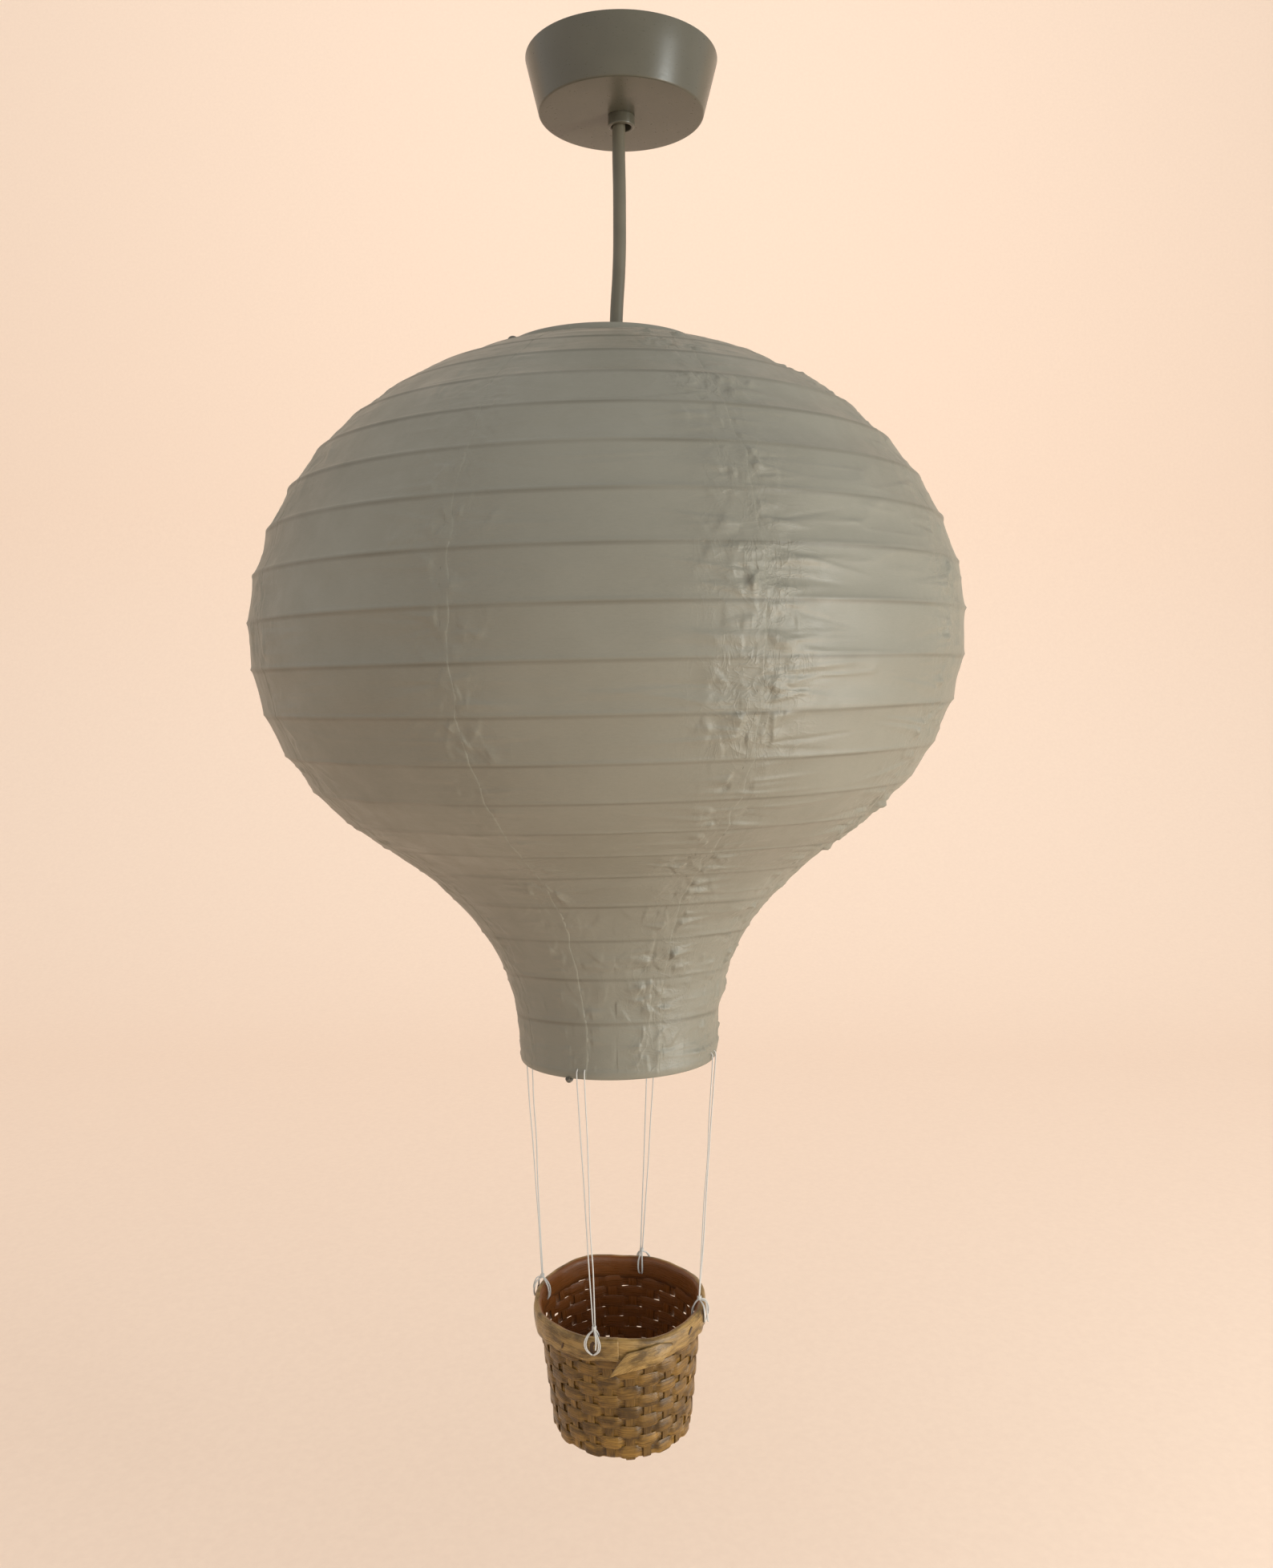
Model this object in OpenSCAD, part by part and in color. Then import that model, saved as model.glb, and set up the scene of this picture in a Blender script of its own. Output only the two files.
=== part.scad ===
// Balloon-shaped paper pendant lantern with a ceiling rose, a lampholder and a small woven basket.
// Millimetres, +Z up. The origin is the centre of the ceiling bracket's top face.

/* [Ceiling rose] */
// Diameter of the rose against the ceiling
rose_d = 111; // [105:1:118]
// Diameter of the rose's flat underside
rose_bottom_d = 96; // [90:1:102]
// Height of the rose
rose_h = 32; // [31:1:36]
// Wall thickness of the rose
rose_wall = 2; // [1.6:0.2:2.4]

/* [Cord] */
// Diameter of the round mains cord
cord_d = 7.5; // [6.5:0.1:7.6]
// Sideways shift of the hanging lamp from the rose's centre
hang_x = -3; // [-4:0.5:0]

/* [Paper shade] */
// Greatest diameter of the shade
shade_d = 400; // [380:5:420]
// Height of the shade
shade_h = 401; // [395:1:410]
// Height of the crown above the widest ring
crown_h = 158; // [150:1:165]
// Diameter of the top and bottom mouths
mouth_d = 113; // [108:1:118]
// Height of the shade's top edge, below the ceiling
shade_top_z = -171; // [-173:1:-170]
// Paper bays between neighbouring rings
bays = 21; // [21]
// Paper gores around the shade
gores = 9; // [9]
// How far the paper bows in between two ribs
paper_bow = 2; // [1:0.5:3]
// Paper wall thickness
paper_t = 0.4; // [0.4:0.1:0.8]

/* [Wires] */
// Diameter of a rib's wire
rib_d = 1; // [0.9:0.1:1.4]
// Diameter of the two mouth rings' wire
mouth_wire_d = 2; // [1.8:0.1:2.2]
// Diameter of the spreader's wire
spreader_wire_d = 2.4; // [2:0.1:2.6]
// Turn of the spreader's legs from the left-right line
spreader_turn = 30; // [20:1:40]

/* [Strings] */
// Diameter of one thread
thread_d = 0.8; // [0.6:0.1:1]
// Turn of the four strings at the shade, from the front, left and right lines
string_turn = -20; // [-25:1:-15]
// Turn of the four strings at the basket
tie_turn = -16; // [-20:1:-12]

/* [Basket] */
// Outer diameter of the basket's rim
rim_d = 98; // [96:0.5:100]
// Diameter over the stakes at the base
base_d = 80; // [78:0.5:82]
// Height of the basket
basket_h = 72; // [70:1:74]
// Height of the basket's top edge, below the ceiling
rim_z = -714; // [-716:1:-712]
// Upright stakes around the basket
stakes = 24; // [24]
// Rows of weavers
rows = 10; // [10]

/* [Hidden] */
$fn = 72;

paper_colour = [0.72, 0.71, 0.66];
plastic_colour = [0.68, 0.67, 0.62];
wire_colour = [0.35, 0.33, 0.30];
bamboo_colour = [0.72, 0.56, 0.30];
thread_colour = [0.92, 0.92, 0.90];
brass_colour = [0.80, 0.65, 0.32];
steel_colour = [0.70, 0.71, 0.73];

// --- ceiling rose ---
plate_t = 1.5;
plate_size = [76, 22];
screw_spacing = 56;
screw_hole_r = 2.6;
stirrup_z = -20; // top face of the stirrup's tab
stirrup_half = 16;
grip_r = 7.7;
grip_bore_r = 5.75;
grip_thread_r = 6.9;
grip_h = 6.5;
anchor_r = 8;
anchor_neck_r = 5.2;
block_y = 15; // the terminal block sits beside the cord's end

// --- lampholder, measured down from the ceiling ---
cap_top_z = -158;
shoulder_z = -180.5; // underside of the holder's shoulder
holder_bottom_z = -214;
holder_r = 19.5;
carrier_z = -182;
carrier_r = 21.9;
nut_z = -183.5; // top face of the shade ring

// --- shade ---
shade_r = shade_d / 2;
mouth_r = mouth_d / 2;
equator_z = shade_top_z - crown_h;
shade_bottom_z = shade_top_z - shade_h;
crown_axis = crown_h / sqrt(1 - pow(mouth_r / shade_r, 2));
belly_axis = 160; // half height of the ellipse under the widest ring
neck_top = 121; // where the belly turns into the neck, below the widest ring
neck_len = shade_h - crown_h - neck_top;
neck_top_r = shade_r * sqrt(1 - pow(neck_top / belly_axis, 2));
neck_slope = shade_r * neck_top / pow(belly_axis, 2) / sqrt(1 - pow(neck_top / belly_axis, 2));
neck_power = neck_slope * neck_len / (neck_top_r - mouth_r);
hem_gap = 2.4; // from a mouth's paper edge to its ring
mouth_ring_r = mouth_r - paper_t - 0.1 - mouth_wire_d / 2;
leg_r = mouth_ring_r - 2.6;

// The paper's outline from the top mouth to the bottom one, as [radius, height] points:
// a quarter ellipse, a flatter quarter ellipse, then a power curve that meets it smoothly.
outline = concat(
    [for (a = [acos(mouth_r / shade_r) : -1 : 0.5])
        [shade_r * cos(a), equator_z + crown_axis * sin(a)]],
    [for (a = [0 : 1 : asin(neck_top / belly_axis) - 0.5])
        [shade_r * cos(a), equator_z - belly_axis * sin(a)]],
    [for (h = [0 : 2 : neck_len])
        [mouth_r + (neck_top_r - mouth_r) * pow(1 - h / neck_len, neck_power),
         equator_z - neck_top - h]]);
run = [for (i = 0, s = 0; i < len(outline);
        s = s + (i + 1 < len(outline) ? norm(outline[i + 1] - outline[i]) : 0), i = i + 1) s];
run_to_r = [for (i = [0 : len(run) - 1]) [run[i], outline[i][0]]];
run_to_z = [for (i = [0 : len(run) - 1]) [run[i], outline[i][1]]];
bay = run[len(run) - 1] / bays;
function on_paper(s) = [lookup(s, run_to_r), lookup(s, run_to_z)];
// Unit normal of the outline, pointing into the shade
function inward(s) = let (d = on_paper(s + 1) - on_paper(s - 1)) [d[1], -d[0]] / norm(d);
function paper_point(half, depth) =
    let (s = half * bay / 2, sunk = depth + (half % 2 == 1 ? paper_bow : 0))
    on_paper(s) + sunk * inward(s);

// --- strings ---
string_angles = [270, 0, 90, 180]; // front, right, back, left
tie_z = rim_z + 0.8; // top of a tie on the rim
knot_r = 1.6;
knot_z = tie_z + 2 + knot_r;
loop_r = 1.7; // a string's loop around the mouth ring's wire
bottom_ring_z = shade_bottom_z - hem_gap;
string_top_z = bottom_ring_z - 0.8;

// --- basket ---
stake_t = 0.8;
stake_w = 7;
weaver_t = 0.6;
band_t = 1.4;
band_gap = 0.6;
stake_turn = 6.5; // leaves a gap between two stakes under each string's tie
rim_r = rim_d / 2 - band_t - band_gap; // middle of the stakes at the rim
base_r = base_d / 2 - 1.5; // middle of the stakes at the base
band_h = 12;
basket_bottom_z = rim_z - basket_h;
row_h = (basket_h - band_h - 1.5) / rows;
weaver_h = row_h - 0.4;
weave_out = 0.9; // from the stakes' middle to a weaver's near face
function wall_r(z) = base_r + (rim_r - base_r) * (z - basket_bottom_z) / basket_h;

// --- cord routes, chosen by hand: inside the rose to the bend, and from the bend to the holder ---
upper_route = [[0, 0, -16], [0, 0, -26], [-1, 0, -32], [-1.5, 0, -39], [-1.5, 0, -55],
    [-1.1, 0, -75], [-1, 0, -90], [-1, 0, -99.2]];
lower_route = [[-1, 0, -100.8], [-1.1, 0, -112], [-1.6, 0, -126], [-2.4, 0, -139],
    [-2.9, 0, -150], [-3, 0, -158], [-3, 0, -170]];

// A round tube along a list of points, as one polyhedron
module tube(route, d, sides) {
    n = len(route);
    function heading(i) = let (v = route[min(i + 1, n - 1)] - route[max(i - 1, 0)]) v / norm(v);
    function side_axis(i) = let (v = cross(heading(i), [0, 1, 0])) v / norm(v);
    rings = [for (i = [0 : n - 1]) let (u = side_axis(i), w = cross(heading(i), u))
        for (k = [0 : sides - 1])
            route[i] + d / 2 * (cos(360 * k / sides) * u + sin(360 * k / sides) * w)];
    walls = [for (i = [0 : n - 2], k = [0 : sides - 1]) let (m = (k + 1) % sides)
        [i * sides + k, i * sides + m, (i + 1) * sides + m, (i + 1) * sides + k]];
    first = [[for (k = [sides - 1 : -1 : 0]) k]];
    last = [[for (k = [0 : sides - 1]) (n - 1) * sides + k]];
    polyhedron(rings, concat(walls, first, last), convexity = 4);
}

// A tube of revolution between two radii
module pipe(r_out, r_in, low, high) {
    translate([0, 0, low]) difference() {
        cylinder(r = r_out, h = high - low);
        translate([0, 0, -1]) cylinder(r = r_in, h = high - low + 2);
    }
}

// A closed wire ring about the Z axis
module wire_ring(r, d, z) {
    translate([0, 0, z]) rotate_extrude() translate([r, 0]) circle(d = d);
}

// A straight wire with flat ends
module rod(from, to, d) {
    v = to - from;
    translate(from) rotate([0, acos(v[2] / norm(v)), atan2(v[1], v[0])]) cylinder(d = d, h = norm(v));
}

// A straight wire with round ends
module wire(from, to, d) {
    translate(from) sphere(d = d);
    translate(to) sphere(d = d);
    rod(from, to, d);
}

// ---------- ceiling rose ----------
module bracket_plate() color(steel_colour) difference() {
    translate([-plate_size[0] / 2, -plate_size[1] / 2, -plate_t])
        cube([plate_size[0], plate_size[1], plate_t]);
    for (side = [-1, 1])
        translate([side * screw_spacing / 2, 0, -plate_t - 1]) cylinder(r = screw_hole_r, h = plate_t + 2);
}

module bracket_stirrup() color(steel_colour) difference() {
    union() {
        for (side = [-1, 1])
            translate([side * stirrup_half - 0.75, -7, stirrup_z - plate_t])
                cube([1.5, 14, -stirrup_z]);
        translate([-stirrup_half - 0.75, -7, stirrup_z - plate_t])
            cube([2 * stirrup_half + 1.5, 14, plate_t]);
    }
    translate([0, 0, stirrup_z - plate_t - 1]) cylinder(r = anchor_neck_r + 0.4, h = plate_t + 2);
    translate([-anchor_neck_r - 0.4, -8, stirrup_z - plate_t - 1])
        cube([2 * anchor_neck_r + 0.8, 8, plate_t + 2]);
}

module terminal_block() color("white") difference() {
    translate([-12, block_y - 4, -11.5]) cube([24, 8, 10]);
    for (x = [-7, 0, 7]) {
        translate([x, block_y + 5, -7.5]) rotate([90, 0, 0]) cylinder(r = 1.6, h = 10);
        translate([x, block_y, -12]) cylinder(r = 1.9, h = 5);
    }
}

module terminal_screws() color(steel_colour)
    for (x = [-7, 0, 7]) translate([x, block_y, -11]) difference() {
        cylinder(r = 1.7, h = 2.2);
        translate([-2, -0.3, -1]) cube([4, 0.6, 1.6]);
    }

module core_wires() color("saddlebrown")
    for (x = [-7, 7])
        tube([[x, block_y - 4.2, -7.5], [x, block_y - 6.5, -7.7], [x * 0.8, block_y - 9, -9],
            [x * 0.5, block_y - 12, -11.5], [x * 0.2, block_y - 14.2, -13.6], [x * 0.18, 0.4, -15.2]],
            2, 8);

module rose_cover() color(plastic_colour) {
    slope = (rose_d - rose_bottom_d) / 2 / rose_h;
    top_r = rose_d / 2;
    low_r = rose_bottom_d / 2;
    rotate_extrude() polygon([
        [grip_thread_r + 0.1, -rose_h], [low_r - 1.2, -rose_h],
        [low_r - 0.3 + slope, -rose_h + 0.4], [low_r + 1.4 * slope, -rose_h + 1.4],
        [top_r, 0], [top_r - rose_wall, 0],
        [low_r - rose_wall + 2 * slope, -rose_h + rose_wall + 0.6],
        [low_r - rose_wall - 0.8, -rose_h + rose_wall], [grip_thread_r + 0.1, -rose_h + rose_wall]]);
}

// Bush with a wide mouth: it stands out under the rose and its thread goes up through the cover
module cord_grip() color(plastic_colour) difference() {
    rotate_extrude() polygon([
        [grip_bore_r, -rose_h - grip_h], [grip_r - 0.6, -rose_h - grip_h],
        [grip_r, -rose_h - grip_h + 0.6], [grip_r, -rose_h - 0.05], [grip_thread_r, -rose_h - 0.05],
        [grip_thread_r, -rose_h + 7], [grip_bore_r, -rose_h + 7]]);
    translate([0, 10, -rose_h - grip_h / 2]) rotate([90, 0, 0]) cylinder(r = 1.1, h = 8);
}

module grip_nut() color(plastic_colour) difference() {
    translate([0, 0, -rose_h + rose_wall + 0.05]) cylinder(r = 11, h = 3.6, $fn = 6);
    translate([0, 0, -rose_h]) cylinder(r = grip_thread_r + 0.1, h = 10);
}

// Two-part clamp on the cord's end: its collar rests on the stirrup and it can turn there
module cord_anchor() color("white") difference() {
    union() {
        translate([0, 0, stirrup_z + 0.3]) cylinder(r = anchor_r, h = 4.2);
        translate([0, 0, stirrup_z - 4.5]) cylinder(r = anchor_neck_r, h = 6);
    }
    translate([0, 0, stirrup_z - 6]) cylinder(r = cord_d / 2 + 0.15, h = 14);
    for (y = [-1, 1])
        translate([-9, y * 6, stirrup_z + 2.4]) rotate([0, 90, 0]) cylinder(r = 0.9, h = 18);
}

module anchor_screws() color(steel_colour)
    for (y = [-1, 1])
        translate([-5.2, y * 6, stirrup_z + 2.4]) rotate([0, 90, 0]) cylinder(r = 0.8, h = 10.4);

module cord_upper() color(plastic_colour) tube(upper_route, cord_d, 12);

module cord_lower() color(plastic_colour) tube(lower_route, cord_d, 12);

// ---------- lampholder ----------
module on_axis() translate([hang_x, 0, 0]) children();

module holder_cap() color(plastic_colour) on_axis() difference() {
    rotate_extrude() polygon([
        [cord_d / 2 + 0.2, cap_top_z], [7.2, cap_top_z], [7.8, cap_top_z - 0.6],
        [7.8, cap_top_z - 7], [14, cap_top_z - 9], [18.6, cap_top_z - 12.5],
        [20.6, cap_top_z - 17], [22.5, shoulder_z + 2.5], [22.5, shoulder_z],
        [17, shoulder_z], [17, cap_top_z - 16], [12, cap_top_z - 11.5], [cord_d / 2 + 0.2, cap_top_z - 11]]);
    translate([0, -12, cap_top_z - 3.6]) rotate([-90, 0, 0]) cylinder(r = 1.6, h = 10);
}

module holder_grip_screw() color("white") on_axis()
    translate([0, -9.4, cap_top_z - 3.6]) rotate([-90, 0, 0]) difference() {
        cylinder(r = 1.5, h = 5.4);
        translate([-2, -0.3, -1]) cube([4, 0.6, 1.8]);
    }

module holder_body() color(plastic_colour) on_axis() difference() {
    union() {
        translate([0, 0, holder_bottom_z]) cylinder(r = holder_r - 0.7, h = shoulder_z - holder_bottom_z - 0.1);
        for (z = [holder_bottom_z + 3 : 2.5 : shoulder_z - 7])
            translate([0, 0, z]) cylinder(r = holder_r, h = 1.1);
    }
    translate([0, 0, holder_bottom_z - 1]) cylinder(r = 16.2, h = 60);
}

module contact_insert() color("ivory") on_axis() difference() {
    translate([0, 0, shoulder_z - 3]) cylinder(r = 15.9, h = 8);
    translate([0, 0, shoulder_z - 4]) cylinder(r = 3.2, h = 5);
    for (x = [-9, 9]) translate([x, 0, shoulder_z]) cylinder(r = 1.5, h = 6);
}

module centre_contact() color(brass_colour) on_axis()
    translate([0, 0, shoulder_z - 5.8]) cylinder(r = 2.8, h = 5.6);

module screw_shell() color(brass_colour) on_axis()
    pipe(14.6, 13.9, holder_bottom_z + 3, shoulder_z - 3.2);

module shade_ring() color(plastic_colour) on_axis() difference() {
    union() {
        translate([0, 0, nut_z - 2]) cylinder(r = 27.5, h = 2);
        translate([0, 0, nut_z - 7]) cylinder(r = 22.6, h = 5.5);
        for (a = [0 : 20 : 340])
            rotate([0, 0, a]) translate([22.3, -1, nut_z - 7]) cube([1.3, 2, 5.5]);
    }
    translate([0, 0, nut_z - 8]) cylinder(r = holder_r + 0.4, h = 10);
}

// ---------- bulb ----------
module bulb_cap() color(steel_colour) on_axis() {
    translate([0, 0, -211]) cylinder(r = 12.6, h = 21);
    for (z = [-208 : 3.6 : -193]) wire_ring(12.5, 1.4, z);
    translate([0, 0, -190.1]) cylinder(r1 = 12.6, r2 = 6.5, h = 1.8);
}

module bulb_tip() color(brass_colour) on_axis()
    translate([0, 0, -188.2]) cylinder(r = 4, h = 1.4);

module bulb_base() color("white") on_axis() rotate_extrude() polygon([
    [0, -211.1], [12.9, -211.1], [13.6, -218], [16.5, -226], [21, -236], [25.8, -246],
    [28.6, -254], [28.6, -256], [27.2, -256], [27.2, -254.2], [24.5, -246.6], [19.7, -236.6],
    [15.2, -226.6], [12.3, -218.4], [11.7, -212.4], [0, -212.4]]);

module bulb_globe() color([0.96, 0.96, 0.92]) on_axis() rotate_extrude() intersection() {
    translate([0, -262]) difference() {
        circle(r = 30);
        circle(r = 28.8);
    }
    translate([0, -300]) square([40, 300 - 256.1]);
}

// ---------- wire spreader ----------
module spreader_carrier() color(wire_colour) on_axis() {
    wire_ring(carrier_r, 2.2, carrier_z);
}

// One leg: an arm from the carrier, an upright, and a hook round each mouth ring
module spreader_leg(turn) color(wire_colour) on_axis() rotate([0, 0, turn]) {
    hook_r = mouth_ring_r - leg_r;
    top_z = shade_top_z + hem_gap;
    wire([carrier_r + 2.4, 0, carrier_z], [leg_r, 0, carrier_z], spreader_wire_d);
    wire([leg_r, 0, bottom_ring_z], [leg_r, 0, top_z], spreader_wire_d);
    translate([mouth_ring_r, 0, bottom_ring_z]) rotate([90, 0, 0])
        rotate([0, 0, 180]) rotate_extrude(angle = 150) translate([hook_r, 0]) circle(d = spreader_wire_d);
    translate([mouth_ring_r, 0, top_z]) rotate([90, 0, 0])
        rotate([0, 0, 30]) rotate_extrude(angle = 150) translate([hook_r, 0]) circle(d = spreader_wire_d);
}

module spreader_leg_left() spreader_leg(180 + spreader_turn);

module spreader_leg_right() spreader_leg(spreader_turn);

// ---------- shade ----------
module top_ring() color(wire_colour) on_axis()
    wire_ring(mouth_ring_r, mouth_wire_d, shade_top_z + hem_gap);

module bottom_ring() color(wire_colour) on_axis()
    wire_ring(mouth_ring_r, mouth_wire_d, bottom_ring_z);

// Ribs from number first to number last, counted from the top mouth
module ribs(first, last) color(wire_colour) on_axis()
    for (i = [first : last]) {
        centre = paper_point(2 * i, paper_t + 0.25 + rib_d / 2);
        wire_ring(centre[0], rib_d, centre[1]);
    }

module crown_ribs() ribs(1, 8);

module belly_ribs() ribs(9, 14);

module neck_ribs() ribs(15, 20);

// One gore: a strip of the paper wall between two seams, sunk a little between the ribs
module paper_gore(number) color(paper_colour) on_axis() {
    sweep = 360 / gores;
    outer = [for (half = [0 : 2 * bays]) paper_point(half, 0)];
    inner = [for (half = [2 * bays : -1 : 0]) paper_point(half, paper_t)];
    rotate([0, 0, 250 + (number - 1) * sweep + 0.02])
        rotate_extrude(angle = sweep - 0.04) polygon(concat(outer, inner));
}

// ---------- strings ----------
function ring_point(a) = [mouth_ring_r * cos(a), mouth_ring_r * sin(a), bottom_ring_z];
function tie_point(a) = [(rim_d / 2 - 1) * cos(a), (rim_d / 2 - 1) * sin(a), knot_z];

// A doubled thread: a loop round the mouth ring, two strands, and the knot over the basket's rim
module string(turn) color(thread_colour) on_axis() rotate([0, 0, turn]) {
    top_a = 270 + string_turn;
    top = ring_point(top_a);
    knot = tie_point(270 + tie_turn);
    translate(top) rotate([0, 0, top_a]) rotate([90, 0, 0])
        rotate_extrude() translate([loop_r, 0]) circle(d = thread_d + 0.2);
    for (spread = [-1.6, 1.6]) {
        start = [top[0] + spread * cos(top_a), top[1] + spread * sin(top_a), string_top_z];
        finish = [knot[0] + spread * 0.3 * cos(top_a), knot[1] + spread * 0.3 * sin(top_a),
            knot_z + knot_r - 0.6];
        rod(start, finish, thread_d);
    }
    translate(knot) sphere(r = knot_r);
}

module string_front() string(0);

module string_right() string(90);

module string_back() string(180);

module string_left() string(270);

// ---------- basket ----------
module basket_base() color(bamboo_colour) on_axis()
    translate([0, 0, basket_bottom_z]) cylinder(r = base_r - 1.8, h = 2);

module basket_stakes() color(bamboo_colour) on_axis() {
    lean = atan((rim_r - base_r) / basket_h);
    for (i = [0 : stakes - 1])
        rotate([0, 0, i * 360 / stakes + stake_turn])
            translate([(rim_r + base_r) / 2, 0, rim_z - basket_h / 2 - 0.2])
                rotate([0, lean, 0]) cube([stake_t, stake_w, basket_h - 0.6], center = true);
}

// One weaver: a flat band that passes outside every second stake and inside the others
module weaver(number) {
    low = basket_bottom_z + 1 + (number - 1) * row_h;
    r = wall_r(low + weaver_h / 2);
    over = asin(stake_w / 2 / r) + 0.4;
    function reach(out, far) = out ? weave_out + (far ? weaver_t : 0) : -weave_out - (far ? 0 : weaver_t);
    function edge(far) = [for (i = [0 : stakes - 1], s = [-1, 1])
        let (a = i * 360 / stakes + stake_turn + s * over)
        (r + reach((i + number) % 2 == 0, far)) / cos(over) * [cos(a), sin(a)]];
    color(bamboo_colour) on_axis() translate([0, 0, low]) linear_extrude(weaver_h) difference() {
        polygon(edge(true));
        polygon(edge(false));
    }
}

// A band of the rim that follows the wall's slope, from offset near to offset far
module rim_band(near, far) color(bamboo_colour) on_axis() {
    low = rim_z - band_h;
    rotate_extrude() polygon([[wall_r(low) + near, low], [wall_r(low) + far, low],
        [wall_r(rim_z) + far, rim_z], [wall_r(rim_z) + near, rim_z]]);
}

module rim_outer() rim_band(band_gap, band_gap + band_t);

module rim_inner() rim_band(-0.5 - band_t, -0.5);

// Square loops of width w that hold both rim bands, at the angles in the list
module loops(angles, w, grow) on_axis()
    for (a = angles) rotate([0, 0, a]) translate([0, w / 2, 0]) rotate([90, 0, 0])
        linear_extrude(w) difference() {
            translate([wall_r(rim_z - band_h) - 2.6 - grow, rim_z - band_h - 0.4 - grow])
                square([6.9 + 2 * grow, band_h + 0.8 + 2 * grow]);
            translate([wall_r(rim_z - band_h) - 2.2, rim_z - band_h - 0.1])
                square([6.1, band_h + 0.2]);
        }

module rim_lashing() color(bamboo_colour)
    loops([for (i = [1 : 2 : stakes - 1]) (i + 0.5) * 360 / stakes + stake_turn], 1.6, 0);

module rim_ties() color(thread_colour)
    loops([for (a = string_angles) a + tie_turn], thread_d, 0.4);

bracket_plate();
bracket_stirrup();
terminal_block();
terminal_screws();
core_wires();
rose_cover();
cord_grip();
grip_nut();
cord_anchor();
anchor_screws();
cord_upper();
cord_lower();
holder_cap();
holder_grip_screw();
holder_body();
contact_insert();
centre_contact();
screw_shell();
shade_ring();
bulb_cap();
bulb_tip();
bulb_base();
bulb_globe();
spreader_carrier();
spreader_leg_left();
spreader_leg_right();
top_ring();
bottom_ring();
crown_ribs();
belly_ribs();
neck_ribs();
paper_gore(1);  // paper_gore_1
paper_gore(2);  // paper_gore_2
paper_gore(3);  // paper_gore_3
paper_gore(4);  // paper_gore_4
paper_gore(5);  // paper_gore_5
paper_gore(6);  // paper_gore_6
paper_gore(7);  // paper_gore_7
paper_gore(8);  // paper_gore_8
paper_gore(9);  // paper_gore_9
string_front();
string_right();
string_back();
string_left();
basket_base();
basket_stakes();
weaver(1);  // weaver_1
weaver(2);  // weaver_2
weaver(3);  // weaver_3
weaver(4);  // weaver_4
weaver(5);  // weaver_5
weaver(6);  // weaver_6
weaver(7);  // weaver_7
weaver(8);  // weaver_8
weaver(9);  // weaver_9
weaver(10);  // weaver_10
rim_outer();
rim_inner();
rim_lashing();
rim_ties();
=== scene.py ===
# Balloon-shaped paper pendant lantern with a woven basket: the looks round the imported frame.
# Metres, +Z up, the origin on the ceiling at the middle of the rose.
import math

import bpy
import numpy as np
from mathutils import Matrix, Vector


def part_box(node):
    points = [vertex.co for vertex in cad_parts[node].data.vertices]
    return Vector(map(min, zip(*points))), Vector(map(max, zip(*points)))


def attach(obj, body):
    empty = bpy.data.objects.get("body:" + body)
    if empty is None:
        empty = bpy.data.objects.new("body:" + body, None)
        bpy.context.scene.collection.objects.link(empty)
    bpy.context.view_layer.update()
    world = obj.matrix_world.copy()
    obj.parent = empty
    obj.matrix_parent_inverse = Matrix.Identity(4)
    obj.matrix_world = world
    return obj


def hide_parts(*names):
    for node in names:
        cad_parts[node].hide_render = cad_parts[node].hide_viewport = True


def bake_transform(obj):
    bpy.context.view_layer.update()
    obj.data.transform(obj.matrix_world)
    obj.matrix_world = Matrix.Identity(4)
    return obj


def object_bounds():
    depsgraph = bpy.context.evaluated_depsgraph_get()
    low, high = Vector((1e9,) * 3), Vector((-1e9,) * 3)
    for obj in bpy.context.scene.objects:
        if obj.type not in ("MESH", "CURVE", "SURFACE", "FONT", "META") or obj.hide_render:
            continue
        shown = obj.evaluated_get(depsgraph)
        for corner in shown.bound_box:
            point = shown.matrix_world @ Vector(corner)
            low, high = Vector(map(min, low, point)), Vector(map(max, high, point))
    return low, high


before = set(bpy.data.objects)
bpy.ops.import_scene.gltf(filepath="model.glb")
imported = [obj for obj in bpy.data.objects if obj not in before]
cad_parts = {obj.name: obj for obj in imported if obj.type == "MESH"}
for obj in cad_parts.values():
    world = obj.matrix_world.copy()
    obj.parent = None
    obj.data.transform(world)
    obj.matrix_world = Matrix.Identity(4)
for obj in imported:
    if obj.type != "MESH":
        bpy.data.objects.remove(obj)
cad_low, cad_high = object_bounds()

MM = 0.001

# ---------- camera, level and a little to the right of the lantern ----------
CAMERA_AT = (0.0088, -0.707, -0.3595)
LENS, SENSOR = 28.0, 36
SHIFT_Y = -0.0654

camera = bpy.data.objects.new("camera", bpy.data.cameras.new("camera"))
bpy.context.scene.collection.objects.link(camera)
camera.location = CAMERA_AT
camera.rotation_euler = (math.radians(90), 0, 0)
camera.data.lens = LENS
camera.data.sensor_width = SENSOR
camera.data.shift_y = SHIFT_Y
camera.data.clip_start = 0.01
bpy.context.scene.camera = camera
bpy.context.scene.view_settings.view_transform = "Standard"


# ---------- mesh helpers ----------
def new_object(name, points, faces, smooth=True):
    mesh = bpy.data.meshes.new(name)
    mesh.from_pydata([tuple(p) for p in points], [], [tuple(f) for f in faces])
    mesh.polygons.foreach_set("use_smooth", [smooth] * len(mesh.polygons))
    mesh.update()
    obj = bpy.data.objects.new(name, mesh)
    bpy.context.scene.collection.objects.link(obj)
    return obj


def grid_faces(rows, columns, wrap_rows=False, wrap_columns=False):
    """Four-sided faces of a grid of points stored row by row."""
    faces = []
    for i in range(rows if wrap_rows else rows - 1):
        for j in range(columns if wrap_columns else columns - 1):
            i2, j2 = (i + 1) % rows, (j + 1) % columns
            faces.append((i * columns + j, i * columns + j2, i2 * columns + j2, i2 * columns + j))
    return faces


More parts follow.
